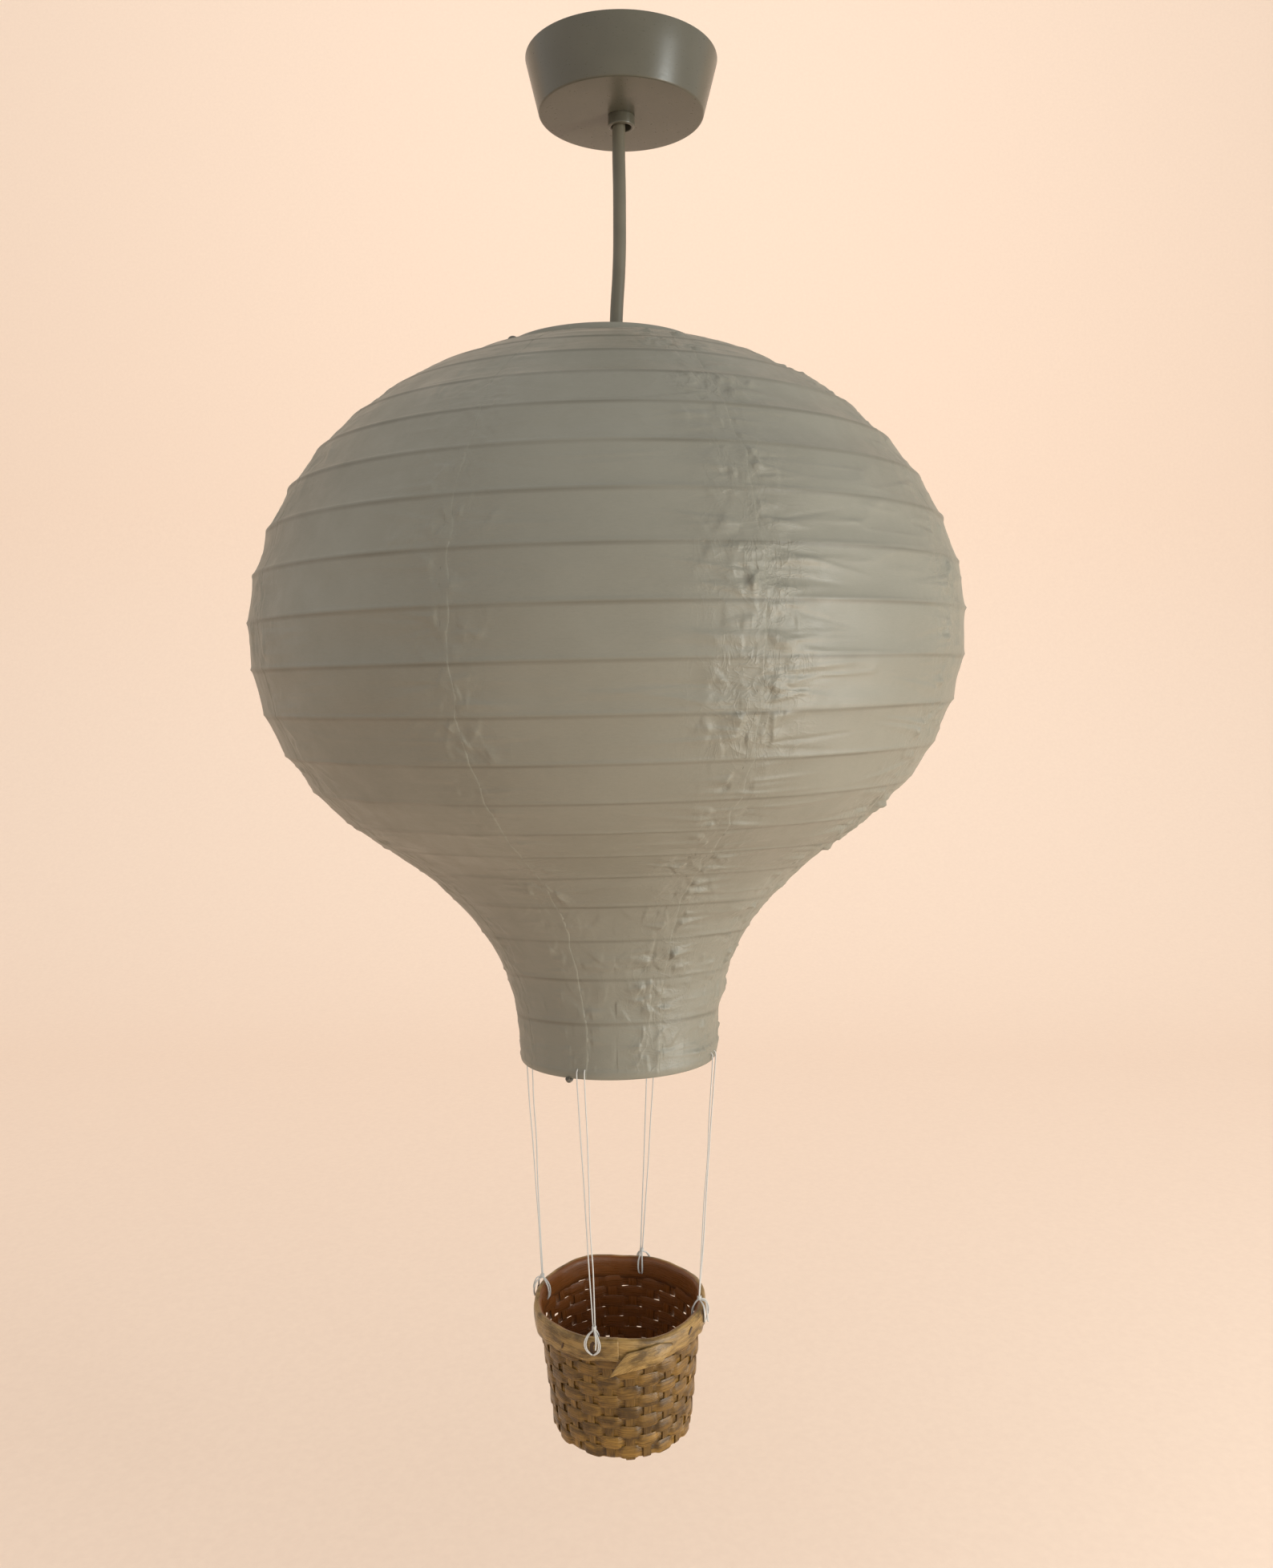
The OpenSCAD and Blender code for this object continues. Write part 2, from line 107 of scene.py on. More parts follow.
def lathe(name, profile, centre=(0, 0), sides=128, closed=True):
    """A body of revolution about a vertical axis, from (radius, height) points."""
    turns = np.linspace(0, 2 * math.pi, sides, endpoint=False)
    points = [
        (centre[0] + r * math.cos(t), centre[1] + r * math.sin(t), z) for r, z in profile for t in turns
    ]
    obj = new_object(name, points, grid_faces(len(profile), sides, closed, True))
    return sharp(obj)


def sharp(obj, degrees=35):
    """Smooth shading that keeps the edges sharper than this angle."""
    mesh = obj.data
    mesh.set_sharp_from_angle(angle=math.radians(degrees))
    return obj


def smooth_path(points, per_piece=8, closed=False):
    """Points along a smooth curve through the given ones."""
    p = [np.array(q, float) for q in points]
    n = len(p)
    out = []
    for i in range(n if closed else n - 1):
        a = p[(i - 1) % n] if closed or i > 0 else 2 * p[0] - p[1]
        b, c = p[i], p[(i + 1) % n]
        d = p[(i + 2) % n] if closed or i + 2 < n else 2 * p[-1] - p[-2]
        for k in range(per_piece):
            t = k / per_piece
            out.append(
                0.5 * (2 * b + (c - a) * t + (2 * a - 5 * b + 4 * c - d) * t**2 + (3 * b - a - 3 * c + d) * t**3)
            )
    if not closed:
        out.append(p[-1])
    return out


def frames_along(path, closed=False):
    """Two unit vectors across the path at each point, turning as little as they can."""
    path = np.array(path)
    n = len(path)
    if closed:
        along = np.roll(path, -1, 0) - np.roll(path, 1, 0)
    else:
        along = np.gradient(path, axis=0)
    along /= np.linalg.norm(along, axis=1)[:, None]
    first = np.cross(along[0], (0, 0, 1) if abs(along[0][2]) < 0.9 else (0, 1, 0))
    side = [first / np.linalg.norm(first)]
    for i in range(1, n):
        s = side[-1] - along[i] * (side[-1] @ along[i])
        side.append(s / np.linalg.norm(s))
    side = np.array(side)
    return side, np.cross(along, side)


def sweep(name, path, radius, sides=10, closed=False):
    """A round tube along a path; radius is one number or one for each point."""
    path = np.array(path, float)
    radius = np.broadcast_to(np.array(radius, float), (len(path),))
    side, up = frames_along(path, closed)
    turns = np.linspace(0, 2 * math.pi, sides, endpoint=False)
    ring = np.cos(turns)[None, :, None] * side[:, None] + np.sin(turns)[None, :, None] * up[:, None]
    points = (path[:, None] + radius[:, None, None] * ring).reshape(-1, 3)
    faces = grid_faces(len(path), sides, closed, True)
    if not closed:
        last = (len(path) - 1) * sides
        faces += [tuple(range(sides - 1, -1, -1)), tuple(range(last, last + sides))]
    return new_object(name, points, faces)


def join(name, objects):
    """One object from several, with their meshes kept in order."""
    points, faces, values = [], [], []
    for o in objects:
        start = len(points)
        points += [tuple(v.co) for v in o.data.vertices]
        faces += [tuple(start + k for k in f.vertices) for f in o.data.polygons]
        mark = o.data.attributes.get("splint")
        if mark:
            values += [tuple(d.vector) for d in mark.data]
        mesh = o.data
        bpy.data.objects.remove(o)
        bpy.data.meshes.remove(mesh)
    made = new_object(name, points, faces)
    if values:
        mark_points(made, values)
    return sharp(made)


def mark_points(obj, values):
    """Stores where each point lies along and across its splint, and the splint's own tone."""
    mark = obj.data.attributes.new("splint", "FLOAT_VECTOR", "POINT")
    mark.data.foreach_set("vector", np.array(values, np.float32).ravel())


# ---------- repeatable noise ----------
def lattice(i, j, k, seed):
    h = (i * 374761393 + j * 668265263 + k * 974711 + seed * 1274126177) & 0xFFFFFFFF
    h = ((h ^ (h >> 13)) * 1274126177) & 0xFFFFFFFF
    h = ((h ^ (h >> 15)) * 2146121005) & 0xFFFFFFFF
    return ((h ^ (h >> 16)) & 0xFFFFFF) / 0xFFFFFF


def noise(x, y, z, seed=0):
    """Smooth noise from 0 to 1, about one unit from crest to hollow."""
    x, y, z = np.broadcast_arrays(x, y, z)
    i, j, k = (np.floor(v).astype(np.int64) for v in (x, y, z))
    u, v, w = (t - np.floor(t) for t in (x, y, z))
    u, v, w = (t * t * (3 - 2 * t) for t in (u, v, w))
    total = 0
    for a in (0, 1):
        for b in (0, 1):
            for c in (0, 1):
                share = (u if a else 1 - u) * (v if b else 1 - v) * (w if c else 1 - w)
                total = total + share * lattice(i + a, j + b, k + c, seed)
    return total


def crease(x, y, z, seed=0):
    """1 along thin random lines, falling to 0 between them."""
    return 1 - np.abs(2 * noise(x, y, z, seed) - 1)


# ---------- materials ----------
class Nodes:
    """A material's node tree, built a node at a time."""

    def __init__(self, name, roughness=0.5, metallic=0.0):
        self.material = bpy.data.materials.new(name)
        self.material.use_nodes = True
        self.tree = self.material.node_tree
        self.shader = self.tree.nodes["Principled BSDF"]
        self.shader.inputs["Roughness"].default_value = roughness
        self.shader.inputs["Metallic"].default_value = metallic

    def set(self, name, value):
        socket = self.shader.inputs[name]
        if isinstance(value, bpy.types.NodeSocket):
            self.tree.links.new(value, socket)
        else:
            socket.default_value = value
        return self

    def node(self, kind, out=0, settings=None, **inputs):
        n = self.tree.nodes.new("ShaderNode" + kind)
        for key, value in (settings or {}).items():
            setattr(n, key, value)
        for key, value in inputs.items():
            key = int(key[1:]) if key[0] == "_" else key.replace("_", " ")
            socket = n.inputs[key]
            if isinstance(value, bpy.types.NodeSocket):
                self.tree.links.new(value, socket)
            else:
                socket.default_value = value
        return n.outputs[out]

    def place(self, scale=(1, 1, 1), attribute=None):
        source = (
            self.node("Attribute", "Vector", {"attribute_name": attribute})
            if attribute
            else self.node("TexCoord", "Object")
        )
        return self.node("Mapping", 0, None, Vector=source, Scale=scale)

    def speckle(self, place, scale, detail=4.0, rough=0.6, warp=0.0):
        return self.node("TexNoise", "Fac", None, Vector=place, Scale=scale, Detail=detail,
                         Roughness=rough, Distortion=warp)

    def spread(self, value, low, high, to_low=0.0, to_high=1.0):
        n = self.tree.nodes.new("ShaderNodeMapRange")
        for key, v in (("From Min", low), ("From Max", high), ("To Min", to_low), ("To Max", to_high)):
            n.inputs[key].default_value = v
        self.tree.links.new(value, n.inputs["Value"])
        return n.outputs[0]

    def mix(self, share, a, b, how="MIX"):
        n = self.tree.nodes.new("ShaderNodeMix")
        n.data_type, n.blend_type = "RGBA", how
        for socket, value in ((n.inputs[0], share), (n.inputs[6], a), (n.inputs[7], b)):
            if isinstance(value, bpy.types.NodeSocket):
                self.tree.links.new(value, socket)
            else:
                socket.default_value = value if isinstance(value, float) else (*value, 1)
        return n.outputs[2]

    def math(self, how, a, b=0.0, c=0.0):
        return self.node("Math", 0, {"operation": how}, _0=a, _1=b, _2=c)

    def bump(self, height, distance, strength=1.0):
        out = self.node("Bump", "Normal", None, Height=height, Distance=distance, Strength=strength)
        return self.set("Normal", out)


def plastic(name, colour, roughness, worn=0.06):
    """Moulded plastic: faint blotches, a fine orange-peel and small scuffs."""
    m = Nodes(name, roughness)
    at = m.place()
    blotch = m.speckle(at, 38.0, 3.0)
    scuff = m.speckle(m.place((1, 1, 3)), 420.0, 6.0, 0.7)
    dark = tuple(c * (1 - worn * 1.6) for c in colour)
    tone = m.mix(m.spread(blotch, 0.35, 0.65), dark, colour)
    tone = m.mix(m.spread(scuff, 0.66, 0.74, 0.0, 0.25), tone, tuple(min(1, c * 1.25) for c in colour))
    m.set("Base Color", tone)
    m.set("Roughness", m.spread(scuff, 0.3, 0.7, roughness * 0.85, roughness * 1.25))
    m.bump(m.speckle(at, 900.0, 2.0), 0.00004, 0.35)
    return m.material


def metal(name, colour, roughness):
    m = Nodes(name, roughness, 1.0)
    streak = m.speckle(m.place((1, 1, 14)), 260.0, 5.0, 0.65)
    m.set("Base Color", m.mix(m.spread(streak, 0.3, 0.7), tuple(c * 0.8 for c in colour), colour))
    m.set("Roughness", m.spread(streak, 0.25, 0.75, roughness * 0.75, roughness * 1.35))
    m.bump(streak, 0.00002, 0.4)
    return m.material


def painted_wire(name, colour):
    m = Nodes(name, 0.45, 0.0)
    chip = m.speckle(m.place(), 700.0, 5.0, 0.7)
    m.set("Base Color", m.mix(m.spread(chip, 0.6, 0.68), colour, tuple(c * 0.45 for c in colour)))
    m.set("Roughness", m.spread(chip, 0.3, 0.7, 0.35, 0.6))
    m.bump(chip, 0.00003, 0.5)
    return m.material


def rice_paper():
    """Thin coated paper: cloudy pulp, fibres, sharp small creases, and a darker line of painted shade just under each
    rib.
    """
    m = Nodes("rice_paper", 0.42)
    at = m.place()
    cloud = m.speckle(at, 14.0, 4.0, 0.6)
    fibre = m.speckle(m.place((1, 1, 5)), 330.0, 6.0, 0.7, 0.8)
    pulp = m.speckle(at, 950.0, 3.0, 0.6)
    tone = m.mix(m.spread(cloud, 0.3, 0.7), PAPER_DARK, PAPER_LIGHT)
    tone = m.mix(m.spread(fibre, 0.35, 0.75, 0.0, 0.3), tone, PAPER_FIBRE)
    # a darker line just under each rib: painted shade of the crease over the wire
    line = m.node("Attribute", "Fac", {"attribute_name": "rib_line"})
    tone = m.mix(m.math("MULTIPLY", line, 0.6), tone, PAPER_RIB_SHADE)
    m.set("Base Color", tone)
    m.set("Roughness", m.spread(m.speckle(at, 60.0, 5.0, 0.65), 0.3, 0.7, 0.40, 0.58))
    m.set("Specular IOR Level", 0.5)
    crinkled = m.node("Attribute", "Fac", {"attribute_name": "crinkled"})

    def ridges(scale, stretch, warp, power):
        n = m.speckle(m.place((1, 1, stretch)), scale, 3.0, 0.5, warp)
        off = m.math("ABSOLUTE", m.math("SUBTRACT", n, 0.5))
        return m.math("POWER", m.math("SUBTRACT", 1.0, m.math("MULTIPLY", off, 4.0)), power)

    small = m.math("ADD", ridges(95.0, 0.55, 1.4, 5.0), ridges(60.0, 2.4, 0.6, 6.0))
    height = m.math("MULTIPLY", small, m.math("MULTIPLY", crinkled, 0.35))
    height = m.math("ADD", height, m.math("MULTIPLY", fibre, 0.12))
    height = m.math("ADD", height, m.math("MULTIPLY", pulp, 0.08))
    m.bump(height, 0.0008, 0.55)
    return m.material


def thread(name, colour):
    """Twisted cotton: plies that wind round the thread, with painted shade in the grooves between them, and loose
    fluff.
    """
    m = Nodes(name, 0.75)
    ply = m.node("TexWave", "Fac", {"wave_type": "BANDS", "bands_direction": "DIAGONAL"},
                 Vector=m.place(), Scale=900.0, Distortion=1.5, Detail=2.0)
    # darker bands where the plies dip: painted shade in the grooves
    tone = m.mix(ply, tuple(c * 0.78 for c in colour), colour)
    m.set("Base Color", tone)
    m.set("Sheen Weight", 0.3)
    m.bump(ply, 0.00012, 0.6)
    return m.material


def bamboo(name, dark, light, inside=None):
    """Split bamboo: grain along each splint, its own tone, darker nodes and a waxy gloss; with inside given, the
    faces that look in to the axis take painted shade.
    """
    m = Nodes(name, 0.36)
    grain = m.speckle(m.place((60, 2600, 900), "splint"), 1.0, 5.0, 0.65)
    stain = m.speckle(m.place((70, 190, 700), "splint"), 1.0, 5.0, 0.65)
    parts = m.node("SeparateXYZ", 2, None, Vector=m.node("Attribute", "Vector", {"attribute_name": "splint"}))
    tone = m.mix(m.spread(grain, 0.32, 0.68), dark, light)
    tone = m.mix(m.spread(stain, 0.44, 0.62, 0.0, 0.85), tone, tuple(c * 0.4 for c in dark))
    tone = m.mix(m.spread(parts, 0.0, 1.0, 0.0, 0.55), tone, tuple(c * 0.6 for c in dark))
    if inside:
        # the faces that look in towards the basket's axis get a darker tone: painted shade inside the basket
        away = m.node("TexCoord", "Object")
        flat = m.node("VectorMath", 0, {"operation": "MULTIPLY"}, _0=away, _1=(1, 1, 0))
        flat = m.node("VectorMath", 0, {"operation": "NORMALIZE"}, _0=flat)
        normal = m.node("TexCoord", "Normal")
        facing = m.node("VectorMath", "Value", {"operation": "DOT_PRODUCT"}, _0=flat, _1=normal)
        inside_shaded = m.mix(m.spread(grain, 0.3, 0.7), inside, tuple(c * 2.2 for c in inside))
        tone = m.mix(m.spread(facing, -0.1, -0.5), tone, inside_shaded)
    m.set("Base Color", tone)
    m.set("Roughness", m.spread(grain, 0.3, 0.7, 0.2, 0.42))
    m.set("Specular IOR Level", 0.4)
    m.bump(grain, 0.00025, 0.8)
    return m.material


PAPER_LIGHT = (0.200, 0.194, 0.156)
PAPER_DARK = (0.174, 0.167, 0.132)
PAPER_FIBRE = (0.24, 0.232, 0.188)
# the colour of the painted shade just under each rib
PAPER_RIB_SHADE = (0.085, 0.078, 0.055)
ROSE_TONE = (0.085, 0.08, 0.057)
CORD_TONE = (0.115, 0.103, 0.07)
THREAD_TONE = (0.60, 0.59, 0.56)
BAMBOO_DARK = (0.085, 0.04, 0.005)
BAMBOO_LIGHT = (0.35, 0.19, 0.035)
# painted shade inside the basket: the inward faces and the floor
INSIDE_SHADE_DARK = (0.10, 0.032, 0.006)
INSIDE_SHADE_LIGHT = (0.30, 0.12, 0.035)

paper_look = rice_paper()
rose_look = plastic("rose_plastic", ROSE_TONE, 0.3)
cord_look = plastic("cord_sheath", CORD_TONE, 0.42, 0.1)
white_look = plastic("white_plastic", (0.72, 0.71, 0.68), 0.35)
porcelain_look = plastic("contact_body", (0.66, 0.62, 0.50), 0.2)
core_look = plastic("core_sheath", (0.17, 0.07, 0.03), 0.4)
bulb_look = plastic("bulb_shell", (0.78, 0.77, 0.72), 0.22, 0.02)
steel_look = metal("zinc_steel", (0.58, 0.59, 0.61), 0.34)
brass_look = metal("brass", (0.72, 0.50, 0.20), 0.3)
wire_look = painted_wire("painted_wire", (0.10, 0.092, 0.075))
thread_look = thread("cotton_thread", THREAD_TONE)
bamboo_look = bamboo("bamboo", BAMBOO_DARK, BAMBOO_LIGHT, INSIDE_SHADE_DARK)
rim_look = bamboo("bamboo_rim", (0.16, 0.085, 0.02), (0.42, 0.27, 0.09), INSIDE_SHADE_DARK)
# near-black bamboo for the painted shade in the rim's splits
slit_shade_look = bamboo("bamboo_slit_shade", (0.05, 0.022, 0.008), (0.11, 0.05, 0.018))
inside_shade_look = bamboo("bamboo_inside_shade", INSIDE_SHADE_DARK, INSIDE_SHADE_LIGHT)


def dress(obj, look):
    obj.data.materials.clear()
    obj.data.materials.append(look)
    return obj


def piece(obj, look, body, slot, *nodes):
    """Gives a piece its material and body, and hides the CAD nodes it stands for; slot is not used."""
    dress(obj, look)
    if body:
        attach(obj, body)
    if nodes:
        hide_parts(*nodes)
    return obj


# ---------- mains cord: one tube from the anchor to the lampholder, in place of the two CAD cord pieces ---
CORD_D = 7.5 * MM
CORD_ROUTE = [
    (0, 0, -0.016), (0, 0, -0.026), (-0.001, 0, -0.032), (-0.0015, 0, -0.039), (-0.0015, 0, -0.055),
    (-0.0011, 0, -0.075), (-0.001, 0, -0.1), (-0.0011, 0, -0.112), (-0.0016, 0, -0.126),
    (-0.0024, 0, -0.139), (-0.0029, 0, -0.15), (-0.003, 0, -0.158), (-0.003, 0, -0.17),
]
cord_line = smooth_path(CORD_ROUTE, 5)
cord = sweep("mains_cord", cord_line, CORD_D / 2, 32)
dress(cord, cord_look)
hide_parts("cord_upper", "cord_lower")
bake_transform(cord)

# ---------- ceiling rose ----------
rose_low, rose_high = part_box("rose_cover")
rose_r = (rose_high.x - rose_low.x) / 2
ROSE_TAPER = 7.5 * MM  # the flat underside's radius is smaller than the brim's by this
ROSE_HOLE_R = 7.1 * MM
floor_r = rose_r - ROSE_TAPER
rose_z = rose_low.z
wall = 2 * MM
brim = 0.5 * MM


def rounded(corner_r, corner_z, radius, start, end, steps=8):
    """An arc about (corner_r, corner_z), from start to end degrees."""
    return [
        (corner_r + radius * math.cos(math.radians(a)), corner_z + radius * math.sin(math.radians(a)))
        for a in np.linspace(start, end, steps)
    ]


slope = (rose_r - floor_r) / -rose_z
lean_deg = math.degrees(math.atan(slope))
edge = 1.3 * MM
rose_profile = (
    [(ROSE_HOLE_R, rose_z), (floor_r * 0.5, rose_z)]
    + rounded(floor_r - edge, rose_z + edge, edge, -90, -lean_deg)
    + [(rose_r - slope * 12 * MM, -12 * MM)]
    + rounded(rose_r - brim, -brim, brim, -lean_deg, 90, 6)
    + [(rose_r - wall, 0), (rose_r - wall - slope * 10 * MM, -10 * MM)]
    + rounded(floor_r - wall - edge, rose_z + wall + edge, edge, -lean_deg, -90)
    + [(ROSE_HOLE_R, rose_z + wall)]
)
rose = lathe("rose_shell", rose_profile, sides=192)
piece(rose, rose_look, "rose", "rose_plastic", "rose_cover")

grip_low, grip_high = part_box("cord_grip")
grip_r = (grip_high.x - grip_low.x) / 2
GRIP_BORE_R, GRIP_NECK_R = 5.75 * MM, 6.9 * MM
grip_profile = (
    rounded(GRIP_BORE_R + 0.5 * MM, grip_low.z + 0.5 * MM, 0.5 * MM, 180, 270, 5)
    + rounded(grip_r - 0.9 * MM, grip_low.z + 0.9 * MM, 0.9 * MM, -90, 0, 7)
    + rounded(grip_r - 0.3 * MM, rose_z - 0.35 * MM, 0.3 * MM, 0, 90, 4)
    + [(GRIP_NECK_R, rose_z - 0.05 * MM), (GRIP_NECK_R, grip_high.z), (GRIP_BORE_R, grip_high.z)]
)
grip = lathe("cord_grip_bush", grip_profile, sides=96)
piece(grip, rose_look, "rose", "rose_plastic", "cord_grip")

# ---------- hidden parts keep their CAD shapes, with their own finishes ----------
CAD_LOOKS = {
    steel_look: ["bracket_plate", "bracket_stirrup", "terminal_screws", "anchor_screws", "bulb_cap"],
    white_look: ["terminal_block", "cord_anchor", "holder_grip_screw"],
    rose_look: ["grip_nut", "holder_cap", "holder_body", "shade_ring"],
    porcelain_look: ["contact_insert"],
    brass_look: ["centre_contact", "screw_shell", "bulb_tip"],
    core_look: ["core_wires"],
    wire_look: ["spreader_carrier"],
}
for look, names in CAD_LOOKS.items():
    for name in names:
        dress(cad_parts[name], look)

# ---------- bulb ----------
AXIS = (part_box("spreader_carrier")[0].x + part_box("spreader_carrier")[1].x) / 2
globe_low, globe_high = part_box("bulb_globe")
base_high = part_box("bulb_base")[1]
globe_r = (globe_high.x - globe_low.x) / 2
globe_z = globe_low.z + globe_r
seam_deg = math.degrees(math.asin((globe_high.z - globe_z) / globe_r))
GLASS = 1.2 * MM
globe_profile = rounded(0, globe_z, globe_r, -89.9, seam_deg, 40)
globe_profile += rounded(0, globe_z, globe_r - GLASS, seam_deg, -89.9, 40)
piece(lathe("bulb_dome", globe_profile, (AXIS, 0), 96), bulb_look, "bulb", "bulb_shell", "bulb_globe")
base_steps = [(0.0001, 0), (12.9, 0), (13.3, -3), (14.6, -9), (17.5, -17), (21.5, -26), (25.4, -34)]
base_steps += [(28.3, -42), (28.6, -44.9)]
base_inner = [(27.2, -44.9), (24.2, -35), (20.0, -26), (15.8, -17), (12.6, -9), (11.7, -1.4), (0.0001, -1.4)]
base_profile = [(r * MM, base_high.z + z * MM) for r, z in base_steps + base_inner]
piece(lathe("bulb_collar", base_profile, (AXIS, 0), 96), bulb_look, "bulb", "bulb_shell", "bulb_base")

# ---------- the shade's outline, as in the frame ----------
gore_boxes = [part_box("paper_gore_%d" % k) for k in range(1, 10)]
SHADE_TOP = max(b[1].z for b in gore_boxes)
SHADE_BOTTOM = min(b[0].z for b in gore_boxes)
SHADE_R = (max(b[1].x for b in gore_boxes) - min(b[0].x for b in gore_boxes)) / 2
RING_R = (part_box("bottom_ring")[1].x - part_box("bottom_ring")[0].x) / 2 - 1 * MM
TOP_RING_Z = (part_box("top_ring")[0].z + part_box("top_ring")[1].z) / 2
BOTTOM_RING_Z = (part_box("bottom_ring")[0].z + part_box("bottom_ring")[1].z) / 2
MOUTH_R = 56.5 * MM
CROWN = 158 * MM
BELLY = 160 * MM
NECK_TOP = 121 * MM
BAYS, GORES = 21, 9
FIRST_SEAM = 250

equator = SHADE_TOP - CROWN
neck_len = equator - NECK_TOP - SHADE_BOTTOM
crown_axis = CROWN / math.sqrt(1 - (MOUTH_R / SHADE_R) ** 2)
neck_top_r = SHADE_R * math.sqrt(1 - (NECK_TOP / BELLY) ** 2)
neck_slope = SHADE_R * NECK_TOP / BELLY**2 / math.sqrt(1 - (NECK_TOP / BELLY) ** 2)
neck_power = neck_slope * neck_len / (neck_top_r - MOUTH_R)

a = np.linspace(math.acos(MOUTH_R / SHADE_R), 0, 200)
crown_line = np.stack([SHADE_R * np.cos(a), equator + crown_axis * np.sin(a)], 1)
a = np.linspace(0, math.asin(NECK_TOP / BELLY), 200)[1:]
belly_line = np.stack([SHADE_R * np.cos(a), equator - BELLY * np.sin(a)], 1)
h = np.linspace(0, neck_len, 200)[1:]
neck_r = MOUTH_R + (neck_top_r - MOUTH_R) * (1 - h / neck_len) ** neck_power
neck_line = np.stack([neck_r, equator - NECK_TOP - h], 1)
outline = np.concatenate([crown_line, belly_line, neck_line])
run = np.concatenate([[0], np.cumsum(np.linalg.norm(np.diff(outline, axis=0), axis=1))])
bay = run[-1] / BAYS


def on_outline(s):
    """Radius, height and the inward direction at distances s along the outline."""
    r, z = np.interp(s, run, outline[:, 0]), np.interp(s, run, outline[:, 1])
    step = 1 * MM
    dr = np.interp(s + step, run, outline[:, 0]) - np.interp(s - step, run, outline[:, 0])
    dz = np.interp(s + step, run, outline[:, 1]) - np.interp(s - step, run, outline[:, 1])
    size = np.hypot(dr, dz)
    return r, z, dz / size, -dr / size


# How the hanging shade leans and how its lower rings tilt, as it hangs
LEAN_TOP, LEAN_SLOPE = -7.7 * MM, 0.0229
TILT_Z = np.array([-575, -545, -520, -490, -465, -445, -420, -390, -329, -168]) * MM
TILT = np.array([0.055, 0.11, 0.115, 0.105, 0.09, 0.05, 0.02, 0.0, -0.008, 0.0])


def hang(points):
    """Points about the shade's upright axis, moved to where the real shade hangs."""
    p = np.array(points, float)
    out = p.copy()
    drop = SHADE_TOP - p[..., 2]
    out[..., 0] = p[..., 0] + AXIS + LEAN_TOP + LEAN_SLOPE * drop
    out[..., 2] = p[..., 2] + LEAN_SLOPE * p[..., 0] - p[..., 1] * np.interp(p[..., 2], TILT_Z, TILT)
    return out


def ring_path(r, z, count=160, start=0.0, sweep_deg=360.0):
    t = np.radians(start + np.linspace(0, sweep_deg, count, endpoint=sweep_deg < 360))
    return hang(np.stack([r * np.cos(t), r * np.sin(t), np.full(count, z)], 1))


# ---------- paper ----------
PER_GORE = 80  # steps across a gore and along a bay, at the back
PER_BAY = 16
FINE = 1.8  # the gores in front are cut this much finer
OVERLAP = 4 * MM  # each gore's glued edge lies on its neighbour
LAP = 0.07 * MM  # how far that edge stands out
PAPER_T = 0.1 * MM
PULLS, PUCKERS = 11, 18  # long and short creases for each bay of a seam
PULL_SEED, PUCKER_SEED, CARE_SEED = 200, 300, 400
seam_angles = np.radians(FIRST_SEAM + np.arange(GORES) * 360 / GORES)


def ridge(off, ease=2.6):
    """A fold's height across it: steep on one side, easing away on the other."""
    return np.where(off < 0, np.exp(-(off**2)), np.exp(-((off / ease) ** 2)))


def pulls(seam, number, aside, up, reach):
    """Long pointed creases that run sideways from a seam, a few in each bay."""
    total = 0
    for j in range(PULLS):
        side, start, length, place, slant, width = (lattice(seam, number, j, PULL_SEED + q) for q in range(6))
        away = np.where(side < 0.5, aside, -aside) - (0.5 + 7 * start) * MM
        long = np.minimum((12 + 55 * length**2) * MM, reach - 7 * MM)
        share = away / long
        taper = np.clip(share / 0.12, 0, 1) * np.clip(1 - share, 0, 1)
        middle = bay * (0.08 + 0.84 * place) + (slant - 0.5) * 0.45 * away
        off = (up - middle) / ((0.75 + 1.0 * width) * MM * (0.4 + 0.6 * taper))
        total = total + taper * ridge(-off) * (1 if j % 3 else -0.7)
    return total


def puckers(seam, number, aside, up):
    """Short creases that stand nearly upright along a seam."""
    total = 0
    for j in range(PUCKERS):
        place, spread, height, slant, length, width = (lattice(seam, number, j, PUCKER_SEED + q) for q in range(6))
        across, along = aside - (place + length - 1) * 30 * MM, up - bay * height
        turn = (slant - 0.5) * 1.9
        p = along * np.cos(turn) + across * np.sin(turn)
        q = across * np.cos(turn) - along * np.sin(turn) + p * p * (width - 0.5) * 60
        off = q / ((0.5 + 0.7 * width) * MM)
        long = (2.5 + 6 * width) * MM
        total = total + (0.15 + spread**2) * np.exp(-((p / long) ** 2)) * ridge(off if j % 2 else -off, 4.0)
    return total


